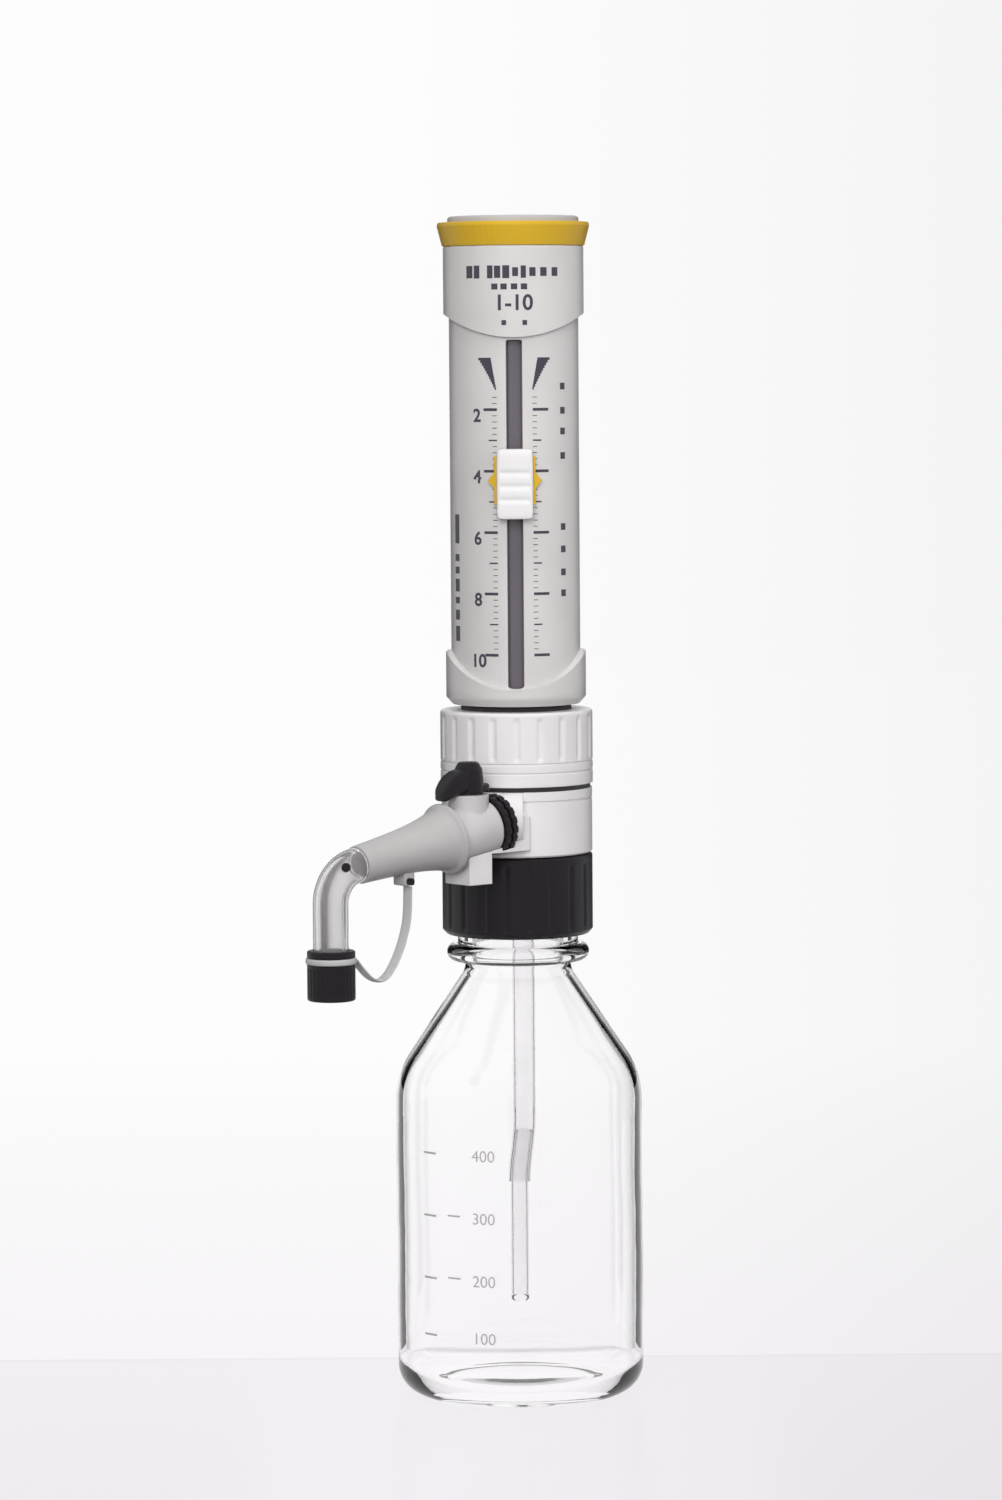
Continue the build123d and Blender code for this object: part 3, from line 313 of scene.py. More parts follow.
line = add_node(tree, "MapRange", From_Max=0.006, To_Min=0.30, To_Max=0.0)
dark = add_node(tree, "Math", "MULTIPLY")
left_over = add_node(tree, "Math", "SUBTRACT")
left_over.inputs[0].default_value = 1.0
power = add_node(tree, "Math", "MULTIPLY")
level = add_node(tree, "MapRange", To_Min=0.83, To_Max=0.98)
most = add_node(tree, "Math", "MAXIMUM")
share = add_node(tree, "Math", "MULTIPLY")
mix = add_node(tree, "MixShader")
link_nodes(
    tree,
    (place, "Object", split, "Vector"),
    (split, "Y", edge, "Value"),
    (split, "Y", rise, "Value"),
    (rise, "Result", ground, "Fac"),
    (ground, "Color", table, "B"),
    (edge, "Result", table, "Factor"),
    (table, "Result", glow, "Color"),
    (split, "Y", depth, 0),
    (split, "X", bearing, 0),
    (depth, 0, bearing, 1),
    (bearing, 0, fall, "Value"),
    (split, "Y", offset, 0),
    (offset, 0, size, 0),
    (size, 0, line, "Value"),
    (line, "Result", dark, 0),
    (through, "Is Transmission Ray", dark, 1),
    (dark, 0, left_over, 1),
    (fall, "Result", power, 0),
    (left_over, 0, power, 1),
    (power, 0, glow, "Strength"),
    (through, "Is Transmission Ray", level, "Value"),
    (level, "Result", most, 0),
    (edge, "Result", most, 1),
    (most, 0, share, 0),
    (seen_rays(tree), 0, share, 1),
    (share, 0, mix, 0),
    (shader, "BSDF", mix, 1),
    (glow, "Emission", mix, 2),
    (mix, "Shader", tree.nodes["Material Output"], "Surface"),
)

world = bpy.data.worlds.new("studio")
bpy.context.scene.world = world
world.use_nodes = True
tree = world.node_tree
background = tree.nodes["Background"]
place = add_node(tree, "TexCoord")
split = add_node(tree, "SeparateXYZ")
fall = add_node(tree, "MapRange", From_Min=-0.02, From_Max=0.12)
white = add_ramp(tree, ground_white, (0.896, 0.885, 0.896))
strength = add_node(tree, "MapRange", To_Min=0.31, To_Max=1.0)
link_nodes(
    tree,
    (place, "Generated", split, "Vector"),
    (split, "X", fall, "Value"),
    (fall, "Result", white, "Fac"),
    (white, "Color", background, "Color"),
    (seen_rays(tree), 0, strength, "Value"),
    (strength, "Result", background, "Strength"),
)

# Each near flag runs from white at its inner edge to black, seen only through
# the glass, and the far ones only in reflections. The dark cards are seen by
# the light that falls on the pieces, and only from their front.
for name, side, inner, black, outer, depth, top in (
    ("upper_left", -1, 0.062, 0.080, 0.130, 0.12, 0.52),
    ("upper_right", 1, 0.046, 0.080, 0.130, 0.12, 0.52),
    ("lower_left", -1, 0.052, 0.061, 0.095, 0.065, 0.085),
    ("lower_right", 1, 0.046, 0.061, 0.095, 0.065, 0.085),
):
    centre = (side * (inner + outer) / 2, depth, top / 2)
    flag, tree, shader = add_card(f"flag_{name}", centre, outer - inner, top, (0, -1, 0), (0, 0, 0))
    place = add_node(tree, "TexCoord")
    split = add_node(tree, "SeparateXYZ")
    fade = add_node(tree, "MapRange", From_Min=side * inner, From_Max=side * black, To_Min=0.95, To_Max=0.0)
    curve = add_node(tree, "Math", "POWER", 0.45)
    glow = add_node(tree, "Emission", Color=(1.0, 0.985, 1.0, 1))
    link_nodes(
        tree,
        (place, "Object", split, "Vector"),
        (split, "X", fade, "Value"),
        (fade, "Result", curve, 0),
        (curve, 0, glow, "Strength"),
        (glow, "Emission", tree.nodes["Material Output"], "Surface"),
    )
    hide_from(flag, "camera", "diffuse", "shadow", "glossy")
for side in (-1, 1):
    centre = (side * 0.25, 0.36, 0.36)
    flag = add_card(f"far_flag_{side + 1}", centre, 0.28, 0.52, (0, -1, 0), (0.01, 0.01, 0.012))[0]
    hide_from(flag, "camera", "diffuse", "shadow", "transmission")
for name, centre, width, height, facing in (
    ("dark_card_below", (-0.12, -0.11, 0.130), 0.24, 0.28, (0, 0, 1)),
    ("dark_card_left", (-0.30, 0.0, 0.34), 0.40, 0.26, (1, 0, 0)),
):
    card, tree, shader = add_card(name, centre, width, height, facing, (0, 0, 0), 1.0)
    clear_back = add_node(tree, "BsdfTransparent")
    sides = add_node(tree, "MixShader")
    facing_away = add_node(tree, "NewGeometry")
    link_nodes(
        tree,
        (facing_away, "Backfacing", sides, 0),
        (shader, 0, sides, 1),
        (clear_back, 0, sides, 2),
        (sides, 0, tree.nodes["Material Output"], "Surface"),
    )
    hide_from(card, "camera", "shadow", "glossy", "transmission")


def add_softbox(name, centre, aim, width, height, watts):
    """A rectangular lamp at a centre that shines towards the point it aims at."""
    lamp_data = bpy.data.lights.new(name, "AREA")
    lamp_data.shape = "RECTANGLE"
    lamp_data.size = width
    lamp_data.size_y = height
    lamp_data.energy = watts
    lamp = bpy.data.objects.new(name, lamp_data)
    lamp.location = centre
    direction = Vector(aim) - Vector(centre)
    lamp.rotation_euler = direction.to_track_quat("-Z", "Y").to_euler()
    hide_from(lamp, "glossy", "transmission")
    bpy.context.scene.collection.objects.link(lamp)


add_softbox("softbox_front", (-0.16, -1.75, 0.85), (0, 0, 0.27), 0.9, 0.9, 21.0)
add_softbox("softbox_right", (1.0, -1.0, 0.7), (0, 0, 0.25), 0.6, 1.2, 3.2)
add_softbox("softbox_top", (0.1, -0.3, 1.7), (0, 0, 0.2), 1.2, 1.2, 8.5)

# ------------------------ bottle
# The reagent bottle is blown from borosilicate glass: a dished foot, a straight
# wall, a sloping shoulder, a waist under the bead and the neck with its lip.


def rounded_loop(corners, steps=6):
    """A closed outline through corners given as (x, y, bend): each corner is replaced by an arc of that
    radius, p = c + bend * (cos a, sin a), tangent to both of its sides."""
    corners = [np.array(corner, float) for corner in corners]
    outline = []
    for number, corner in enumerate(corners):
        before = corners[number - 1][:2] - corner[:2]
        after = corners[(number + 1) % len(corners)][:2] - corner[:2]
        bend = corner[2]
        if bend <= 0:
            outline.append(corner[:2])
            continue
        before_way = before / np.linalg.norm(before)
        after_way = after / np.linalg.norm(after)
        half = math.acos(np.clip(before_way @ after_way, -1, 1)) / 2
        reach = bend / math.tan(half)
        middle = before_way + after_way
        centre = corner[:2] + middle / np.linalg.norm(middle) * bend / math.sin(half)
        start = corner[:2] + before_way * reach - centre
        end = corner[:2] + after_way * reach - centre
        turn = math.atan2(start[0] * end[1] - start[1] * end[0], start @ end)
        for part in np.linspace(0, turn, steps + 1):
            spin = np.array([[math.cos(part), -math.sin(part)], [math.sin(part), math.cos(part)]])
            outline.append(centre + spin @ start)
    return np.array(outline)


def spread(outline, longest, closed=True):
    """The same outline with its sides cut into steps no longer than the given length. One that isn't closed
    starts and ends on the axis."""
    points = []
    for start, end in zip(outline, np.roll(outline, -1, axis=0) if closed else outline[1:]):
        count = max(1, int(np.ceil(np.linalg.norm(end - start) / longest)))
        points.append(start + (end - start) * np.arange(count)[:, None] / count)
    return np.concatenate(points if closed else [*points, outline[-1:]])


def turned(outline, around, shape=None, start=(0, 0, 0), axes=np.eye(3)):
    """A turned form from an outline of (radius, height) in millimetres: p = start + r * (u cos a + v sin a)
    + h * w. The function shape(angle, r, h) may change the radius, as for ribs."""
    u, v, w = axes
    angle = full_turn(around)[None, :]
    radius = np.repeat(outline[:, :1], around, axis=1)
    height = np.repeat(outline[:, 1:], around, axis=1)
    if shape is not None:
        radius, height = shape(np.repeat(angle, len(outline), axis=0), radius, height)
    points = radius[..., None] * (np.cos(angle)[..., None] * u + np.sin(angle)[..., None] * v)
    return np.array(start, float) + (points + height[..., None] * w) * 0.001


def add_turned(
    name, outline, step, around, shape=None, start=(0, 0, 0), axes=np.eye(3), ring=False, crease=50
):
    """A turned piece whose outline is cut into short steps: a ring, or a body closed on its axis."""
    grid = turned(spread(outline, step, ring), around, shape, start, axes)
    return add_surface(name, grid, wrap_rows=ring, crease=crease)


def blown(angle, radius, height):
    """Blown glass isn't quite true: its wall swells and sinks by 0.10 sin(3 a + 0.045 h)
    + 0.06 sin(5 a - 0.11 h + 1.3) millimetres, faded out at the foot and the neck."""
    waves = 0.10 * np.sin(3 * angle + height * 0.045) + 0.06 * np.sin(5 * angle - height * 0.11 + 1.3)
    return radius + waves * np.clip((radius - 20) / 10, 0, 1) * np.clip(height / 12, 0, 1), height


bottle_outline = rounded_loop(
    [
        (0.0, 1.6, 0), (26.5, 1.6, 2.0), (29.5, 0.0, 1.0), (43.0, 0.0, 9.9),
        (43.0, 112.0, 30.0), (18.4, 148.9, 8.0), (18.4, 152.0, 0.6), (24.8, 152.0, 2.9),
        (24.8, 158.0, 2.9), (21.0, 158.0, 0.5), (21.0, 176.0, 1.4), (16.0, 176.0, 1.4),
        (16.0, 147.5, 6.0), (40.4, 111.2, 27.0), (40.4, 4.6, 8.0), (26.0, 3.6, 10.0),
        (0.0, 5.0, 0),
    ],
    steps=14,
)
bottle = add_turned("bottle_glass", bottle_outline, 4.0, 180, blown, crease=38)


def clear(name, colour, roughness, ior, waviness, passing=1.0):
    """Clear glass or plastic: a share of the light passes through, and a slow noise lifts the surface."""
    material, tree, shader = new_finish(
        name, Base_Color=(*colour, 1), Roughness=roughness, IOR=ior, Transmission_Weight=passing
    )
    place = add_node(tree, "TexCoord")
    waves = add_node(tree, "TexNoise", Scale=60.0)
    bump = add_node(tree, "Bump", Strength=waviness, Distance=0.0005)
    link_nodes(
        tree,
        (place, "Object", waves, "Vector"),
        (waves, "Fac", bump, "Height"),
        (bump, "Normal", shader, "Normal"),
    )
    return material


def seat(piece, finish, body, node):
    """Paints a piece and lets it ride on its body in the place of a solid."""
    paint(finish, piece)
    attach(piece, body)
    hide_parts(node)


glass_finish = clear("borosilicate_glass", (0.998, 0.997, 0.998), 0.0, 1.47, 0.10)
seat(bottle, glass_finish, "bottle", "bottle")
paint(glass_finish, "glass_cylinder")

# Graduations every 100 mL, printed in pale grey ceramic ink on the left of the
# bottle's front: a long line and the plain number, two with a shorter line.


def bent(flat, radius, lift):
    """Flat drawings wrapped on a cylinder: (x, z) goes to the angle x / radius, at radius + lift."""
    angle = flat[..., 0] / radius
    reach = radius + lift
    return np.stack([reach * np.sin(angle), -reach * np.cos(angle), flat[..., 1]], axis=-1) * 0.001


def word_triangles(name, size, weight, text, thickness):
    """Points and triangles of a word of raised type, centred on the origin."""
    curve = bpy.data.curves.new(name, "FONT")
    curve.body = text
    curve.size = size
    curve.offset = weight
    curve.align_x = "CENTER"
    curve.align_y = "CENTER"
    curve.extrude = thickness / 2
    holder = bpy.data.objects.new(name, curve)
    bpy.context.scene.collection.objects.link(holder)
    bpy.context.view_layer.update()
    mesh = bpy.data.meshes.new_from_object(holder)
    mesh.calc_loop_triangles()
    points = np.empty(len(mesh.vertices) * 3)
    mesh.vertices.foreach_get("co", points)
    triangles = np.empty(len(mesh.loop_triangles) * 3, dtype=np.int32)
    mesh.loop_triangles.foreach_get("vertices", triangles)
    bpy.data.objects.remove(holder)
    bpy.data.meshes.remove(mesh)
    return points.reshape(-1, 3), triangles.reshape(-1, 3)


def print_piece(name, bars, words, radius, thickness=0.05):
    """Printed marks on an upright cylinder, as one piece: bars as (x, z, width, height) and words as (x, z,
    size, weight, text), all in millimetres on the unrolled surface, each a thin closed shape."""
    points = []
    faces = []
    count = 0
    across = np.linspace(-0.5, 0.5, 9)[:, None]
    up = np.array([[-0.5, 0.5]])
    for x, z, width, height in bars:
        flat = np.stack(np.broadcast_arrays(x + across * width, z + up * height), axis=-1)
        ring = np.concatenate([bent(flat, radius, thickness), bent(flat, radius, 0.0)[:, ::-1]], axis=1)
        ends = [end.mean(axis=1, keepdims=True).repeat(4, axis=1) for end in (ring[:1], ring[-1:])]
        closed = np.concatenate([ends[0], ring, ends[1]])
        points.append(closed.reshape(-1, 3))
        faces.append(grid_faces(closed.shape[0], 4, False, True, count))
        count += closed.shape[0] * 4
    for x, z, size, weight, text in words:
        flat, triangles = word_triangles(name, size, weight, text, thickness)
        points.append(bent(flat[:, :2] + (x, z), radius, flat[:, 2] + thickness / 2))
        faces.append(np.concatenate([triangles, triangles[:, 2:]], axis=1) + count)
        count += len(flat)
    return finish_mesh(name, np.concatenate(points), np.concatenate(faces))


bottle_print_radius = 43.12
graduation_bars = []
graduation_words = []
for number, height in ((400, 88.6), (300, 66.9), (200, 45.2), (100, 25.4)):
    graduation_bars.append((-34.6, height, 6.0, 0.7))
    graduation_words.append((-12.8, height, 5.6, 0.0, str(number)))
for height in (67.6, 46.0):
    graduation_bars.append((-24.0, height, 5.0, 0.6))
graduations = print_piece("bottle_graduations", graduation_bars, graduation_words, bottle_print_radius)
paint(moulded("ceramic_ink_grey", (0.50, 0.49, 0.50), 0.5), graduations)
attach(graduations, "bottle")

# ------------------------ union nut
# Black polypropylene nut that draws the head down on the bottle's neck: twenty
# finger grooves round the skirt, softened edges at the top and the foot.


def grooved(count, surface, groove, sink, low, high, phase=0.0, ramp=0.8):
    """Round grooves cut in an upright surface: inside a groove the radius is c cos d - sqrt(g^2 - c^2 sin^2
    d), where d is the angle from the groove's middle, g its radius and c = surface + sink * g. The grooves
    fade out at their two ends."""

    def shape(angle, radius, height):
        centre = surface + sink * groove
        step = 2 * math.pi / count
        away = (angle - phase + step / 2) % step - step / 2
        root = groove**2 - (centre * np.sin(away)) ** 2
        cut = centre * np.cos(away) - np.sqrt(np.maximum(root, 0))
        cut = np.where(root > 0, np.minimum(cut, surface), surface)
        fade = np.clip((height - low) / ramp, 0, 1) * np.clip((high - height) / ramp, 0, 1)
        fade = fade * np.clip((radius - surface + 1.2) / 0.2, 0, 1)
        return radius - (surface - cut) * fade, height

    return shape


union_radius = 26.2
union_outline = rounded_loop(
    [
        (21.9, 161.4, 0.3), (24.7, 161.4, 0.9), (union_radius, 163.0, 0.9),
        (union_radius, 189.4, 0.8), (18.4, 189.4, 0.4), (18.4, 185.4, 0.2), (21.9, 185.4, 0.2),
    ]
)
union_shape = grooved(20, union_radius, 1.3, 0.55, 163.8, 186.8, math.radians(9))
union = add_turned("union_nut_skirt", union_outline, 0.8, 360, union_shape, ring=True)
pitch_black = (0.0075, 0.0058, 0.0080)
black_finish = moulded("black_polypropylene", pitch_black, 0.40, Specular_IOR_Level=0.25)
seat(union, black_finish, "union", "union_nut")

# ------------------------ collar and block
# Off-white moulded collar with twenty grooves and two turned lines, over the
# white valve block; a black gasket between them is painted shade, a dark line
# standing in for the shadow in the joint.
collar_radius = 26.5
line_radius = 26.05
collar_outline = [(21.7, 214.0, 0.2), (collar_radius, 214.0, 0.3)]
for line_low in (218.4, 221.6):
    collar_outline += [
        (collar_radius, line_low, 0.15), (line_radius, line_low, 0.1),
        (line_radius, line_low + 0.6, 0.1), (collar_radius, line_low + 0.6, 0.15),
    ]
collar_outline += [(collar_radius, 239.6, 1.1), (17.8, 239.6, 0.3), (17.8, 231.3, 0.2), (21.7, 231.3, 0.2)]
collar_shape = grooved(20, collar_radius, 1.6, 0.62, 222.8, 237.8)
collar = add_turned("collar_shell", rounded_loop(collar_outline), 0.8, 360, collar_shape, ring=True)
off_white = (0.80, 0.785, 0.785)
white_finish = moulded("white_polypropylene", off_white, 0.33)
white_solid_finish = moulded("white_polypropylene_solid", off_white, 0.33, soften=0.0004)
seat(collar, white_finish, "head", "knurled_collar")
paint(white_solid_finish, "valve_block", "calibration_bush")
# Black elastomer for the gasket and rings; on the collar gasket this black is painted shade for the shadow
# in the joint.
rubber_and_joint_shadow_finish = moulded("black_elastomer_and_joint_shadow", (0.018, 0.016, 0.018), 0.6)
paint(rubber_and_joint_shadow_finish, "collar_gasket", "buffer_ring", "centring_ring")

# ------------------------ outer sleeve
# Light grey extruded sleeve with a thicker band at each end, whose edges dip to
# the front, and the setting slot with softened lips down its middle.
sleeve_low = 241.6
sleeve_high = 399.7
sleeve_radius = 22.4
sleeve_bore = 20.4
band_radius = 24.3
lower_edge, lower_side = 247.3, 260.4
upper_edge, upper_side = 368.2, 376.4
slot_low, slot_high, slot_half = 247.8, 367.5, 2.85


def arc_height(x, middle, side):
    """Height at x of the arc through (0, middle) and (+-band_radius, side)."""
    rise = side - middle
    bend = (band_radius**2 + rise**2) / (2 * rise)
    return middle + bend - np.sqrt(bend**2 - x**2)


def slot_angle(height):
    """Half the slot's opening as an angle: constant, and closing within its last millimetre by
    (1 - (1 - p)^3.2)^(1 / 3.2)."""
    part = np.clip(np.minimum(height - slot_low, slot_high - height), 0, 1)
    return np.arcsin(slot_half / sleeve_radius) * (1 - (1 - part) ** 3.2) ** (1 / 3.2)


def band_profile(near, inside, outside):
    """Radius across a band's edge: from the band to the sleeve by 3 p^2 - 2 p^3 over 0.3 millimetres."""
    part = np.clip((near + 0.15) / 0.3, 0, 1)
    return inside + (outside - inside) * part * part * (3 - 2 * part)


edge_steps = [-0.5, -0.2, -0.15, -0.08, 0.0, 0.08, 0.15, 0.2, 0.5]
slot_steps = [0.0, 0.004, 0.02, 0.06, 0.14, 0.28, 0.5, 0.8, 1.1, 1.5]
rows = [sleeve_low + step for step in (0, 0.02, 0.2, 0.7, 1.3, 1.8, 2.2, 2.6, 3.4, 4.6)]
rows += [lower_edge + step for step in edge_steps] + [slot_low + step for step in slot_steps]
rows += list(np.linspace(252, 363, 38))
rows += [slot_high - step for step in slot_steps] + [upper_edge + step for step in edge_steps]
rows += list(np.linspace(370, 398.5, 14)) + [399.2, 399.6, sleeve_high]
rows = np.array(sorted({round(row, 4) for row in rows}))[:, None]
steps_round = 160
share = np.linspace(0, 1, steps_round + 1)[None, :]
opening = slot_angle(rows)
angle = opening + share * (2 * math.pi - 2 * opening)
x = band_radius * np.sin(angle)

# The rows follow the bands' curved edges there and straighten towards the ends
# and the middle of the sleeve.
lower_lift = np.interp(rows, [244.2, lower_edge, 330], [0, 1, 0])
upper_lift = np.interp(rows, [330, upper_edge, 396], [0, 1, 0])
height = rows + lower_lift * (arc_height(x, lower_edge, lower_side) - lower_edge)
height = height + upper_lift * (arc_height(x, upper_edge, upper_side) - upper_edge)
near_edge = np.where(rows < 320, rows - lower_edge, upper_edge - rows)
foot = np.clip((rows - sleeve_low) / 2.6, 0, 1)
lip = np.clip(1 - np.minimum(share, 1 - share) * steps_round / 2.0, 0, 1) ** 2 * (opening > 0)
radius = band_profile(near_edge, band_radius, sleeve_radius) - 2.3 * (1 - foot) ** 1.15
radius = radius - 0.35 * np.clip((rows - 399.2) / 0.5, 0, 1) ** 2 - 0.18 * lip
walls = [
    np.stack([wall * np.sin(angle), -wall * np.cos(angle), height], axis=-1)
    for wall in (radius, np.full_like(height, sleeve_bore))
]
sleeve_grid = np.concatenate([walls[0], walls[1][:, ::-1]], axis=1) * 0.001

# The slot's side walls join the two walls of the sleeve, and rims close it at
# the foot and the top.
columns = sleeve_grid.shape[1]
sleeve_faces = grid_faces(len(rows), columns, False, True).reshape(len(rows) - 1, columns, 4)
in_slot = (opening[:-1, 0] > 0) | (opening[1:, 0] > 0)
side_wall = np.isin(np.arange(columns), (steps_round, columns - 1))
sleeve_faces = [sleeve_faces[in_slot[:, None] | ~side_wall[None, :]]]
for first in (0, (len(rows) - 1) * columns):
    near = first + np.arange(steps_round)
    far = first + columns - 1 - np.arange(steps_round)
    sleeve_faces.append(np.stack([near, near + 1, far - 1, far], axis=-1))
sleeve = finish_mesh("sleeve_shell", sleeve_grid.reshape(-1, 3), np.concatenate(sleeve_faces), crease=45)
sleeve_finish = moulded("grey_sleeve_plastic", (0.665, 0.645, 0.64), 0.34)
seat(sleeve, sleeve_finish, "plunger", "outer_sleeve")
guard_finish = moulded("dark_guard_tube", (0.146, 0.129, 0.147), 0.20)
paint(guard_finish, "guard_tube")

# The setting scale is pad-printed in dark violet grey: lines and plain numbers
# on both sides of the slot, two tapering marks above, and plain small bars beside
# them and on the upper band.
scale_zero = 364.7
scale_step = 10.523
scale_bars = []
scale_words = []
for number in range(2, 11):
    height = scale_zero - number * scale_step
    if number % 2 == 0:
        scale_bars += [(-8.5, height, 4.9, 0.95), (9.3, height, 5.8, 0.95)]
        scale_words.append((-13.6, height - 2.2, 6.2, 0.16, str(number)))
    else:
        scale_bars += [(-7.6, height, 3.0, 0.5), (7.9, height, 3.0, 0.5)]
for step in range(8, 51):
    if step % 5:
        height = scale_zero - step * 0.2 * scale_step
        scale_bars += [(-6.9, height, 1.6, 0.24), (7.1, height, 1.6, 0.24)]
arrow_rows = 12
arrow_height = 11.0
for row in range(arrow_rows):
    part = (row + 0.5) / arrow_rows
    for side in (-1, 1):
        outer, inner = 13.4 - 6.8 * part**0.8, 8.2 - 2.0 * part
        middle = side * (outer + inner) / 2
        scale_bars.append((middle, 361.4 - arrow_height * part, outer - inner, arrow_height / arrow_rows))
dot_heights = (351.5, 343.2, 336.1, 327.7, 303.3, 295.6, 287.7, 280.5)
scale_bars += [(18.6, height, 2.3, 2.3) for height in dot_heights]
side_marks = (
    (302.6, 10.0), (292.7, 2.4), (288.4, 2.4), (283.2, 4.4), (278.0, 2.2), (273.0, 3.4), (266.5, 5.2),
)
scale_bars += [(-24.6, height, 3.0, tall) for height, tall in side_marks]
scale = print_piece("sleeve_scale", scale_bars, scale_words, sleeve_radius)
top_marks = (
    (-16.2, 2.6, 4.2), (-13.2, 2.2, 4.4), (-8.2, 2.0, 4.4), (-5.6, 2.2, 4.2), (-2.6, 2.4, 4.4),
    (0.6, 2.0, 3.0), (3.4, 1.8, 4.2), (6.6, 2.2, 3.0), (10.6, 2.4, 3.0), (15.0, 2.4, 3.0),
)
band_bars = [(x, 390.6, wide, tall) for x, wide, tall in top_marks]
band_bars += [(x, 385.6, 2.2, 2.0) for x in (-6.6, -3.4, 0.2, 3.6)]
band_bars += [(x, 373.3, 1.6, 1.7) for x in (-3.4, 3.8)]
band_words = [(0.0, 379.9, 7.4, 0.16, "1-10")]
band_marks = print_piece("band_marks", band_bars, band_words, band_radius)
ink_finish = moulded("violet_grey_ink", (0.045, 0.040, 0.058), 0.5)
paint(ink_finish, scale, band_marks)
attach(scale, "plunger")
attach(band_marks, "plunger")

# ------------------------ slider
# White thumb slider with ridges across its face, over the yellow pointer plate
# whose two tips show the set volume.


def pillow(centre, half, depth, power, face_relief, bevel_depth, bevel_height, count):
    """A block with soft edges: over (u, v) in -1..1 the face stands at depth * (1 - |u|^p)^(1/p) * (1 -
    |v|^p)^(1/p) in front of the flat back, plus a relief given as a function of the place in millimetres.
    The back slopes forward at the foot, by the bevel's depth over its height."""
    even = np.linspace(-1, 1, count)
    lane = np.sign(even) * (1 - (1 - np.abs(even)) ** 2.2)
    u, v = np.meshgrid(lane, lane)
    soft_u, soft_v = [np.clip(1 - np.abs(way) ** power, 0, 1) ** (1 / power) for way in (u, v)]
    body = soft_u * soft_v
    corner = 1 - 0.05 * (np.abs(u) * np.abs(v)) ** 6
    x = centre[0] + u * half[0] * corner
    z = centre[2] + v * half[1] * corner
    slope = bevel_depth * np.clip(1 - (z - centre[2] + half[1]) / bevel_height, 0, 1)
    stand = slope + (depth - slope) * body + face_relief(x, z) * np.clip((body - 0.75) / 0.2, 0, 1)
    front = np.stack([x, centre[1] - stand, z], axis=-1)
    back = np.stack([x, centre[1] - slope, z], axis=-1)
    points = np.concatenate([front.reshape(-1, 3), back.reshape(-1, 3)]) * 0.001
    faces = [grid_faces(count, count, False, False, first) for first in (0, count * count)]
    return points, np.concatenate(faces)


def slider_ridges(x, z):
    """Three hollows across the face, 0.45 * exp(-((z - m) / 0.8)^2) mm deep, and a faint crown."""
    relief = np.zeros_like(x)
    for middle in (322.0, 317.4, 312.8):
        relief = relief - 0.45 * np.exp(-(((z - middle) / 0.8) ** 2))
    return relief * np.clip((5.4 - np.abs(x)) / 0.5, 0, 1) + 0.12 * (1 - (x / 6.25) ** 2)


points, faces = pillow(
    centre=(0.0, -23.56, 318.25),
    half=(6.25, 12.0),
    depth=3.45,
    power=9.0,
    face_relief=slider_ridges,
    bevel_depth=2.35,
    bevel_height=5.1,
    count=97,
)
slider = finish_mesh("slider_shell", points, faces, crease=60)
slider_finish = moulded("white_slider_plastic", (0.84, 0.83, 0.83), 0.30)
neck_middle = 319.453
neck_around = 48
neck_turned = full_turn(neck_around)
neck_x, neck_z = [
    half * np.sign(way) * np.minimum(1, 1.16 * np.abs(way) ** 0.5)
    for half, way in ((2.65, np.cos(neck_turned)), (4.0, np.sin(neck_turned)))
]
neck_rows = [(0.0, -23.75), (1.0, -23.75), (1.0, -19.85), (0.96, -19.8), (0.0, -19.8)]
neck_grid = [
    np.stack([neck_x * size, np.full(neck_around, depth), neck_middle + neck_z * size], axis=1)
    for size, depth in neck_rows
]
neck = add_surface("slider_neck", np.array(neck_grid) * 0.001, crease=40)
for piece in (slider, neck):
    seat(piece, slider_finish, "slider", "volume_slider")
yellow_solid_finish = moulded("yellow_plate_plastic", (0.66, 0.415, 0.014), 0.40, soften=0.0002)
paint(yellow_solid_finish, "slider_pointer")

# ------------------------ top cap
# Ochre screw cap that flares to its upper edge, with a thin grey calibration
# cover snapped in its top.
cap_outline = rounded_loop(
    [
        (0.0, 403.7, 0), (3.02, 403.7, 0), (3.02, 399.75, 0.2), (18.0, 399.75, 0),
        (18.0, 391.75, 0.2), (20.35, 391.75, 0.3), (20.35, 399.75, 0), (24.6, 399.75, 0.35),
        (26.35, 406.6, 0.9), (26.1, 407.9, 0.5), (22.85, 407.9, 0.3), (22.85, 406.65, 0),
        (0.0, 406.65, 0),
    ]
)


def cap_grip(angle, radius, height):
    """Fine flutes round the flared rim: r - 0.035 * (1 - cos 72 a) millimetres."""
    on_rim = np.clip((radius - 24.4) / 0.3, 0, 1)
    return radius - 0.035 * (1 - np.cos(72 * angle)) * on_rim, height


cap = add_turned("cap_shell", cap_outline, 1.5, 288, cap_grip, crease=35)
yellow_finish = moulded("yellow_cap_plastic", (0.655, 0.405, 0.0145), 0.42)
seat(cap, yellow_finish, "plunger", "top_cap")
cover_outline = rounded_loop(
    [
        (0.0, 406.7, 0), (22.7, 406.7, 0.2), (22.7, 410.0, 1.1), (20.6, 410.0, 0.3),
        (20.4, 409.75, 0.3), (0.0, 409.7, 0),
    ]
)
cover = add_turned("cap_cover_disc", cover_outline, 1.5, 128, crease=35)
grey_finish = moulded("grey_cover_plastic", (0.47, 0.455, 0.455), 0.40)
seat(cover, grey_finish, "plunger", "cap_cover")

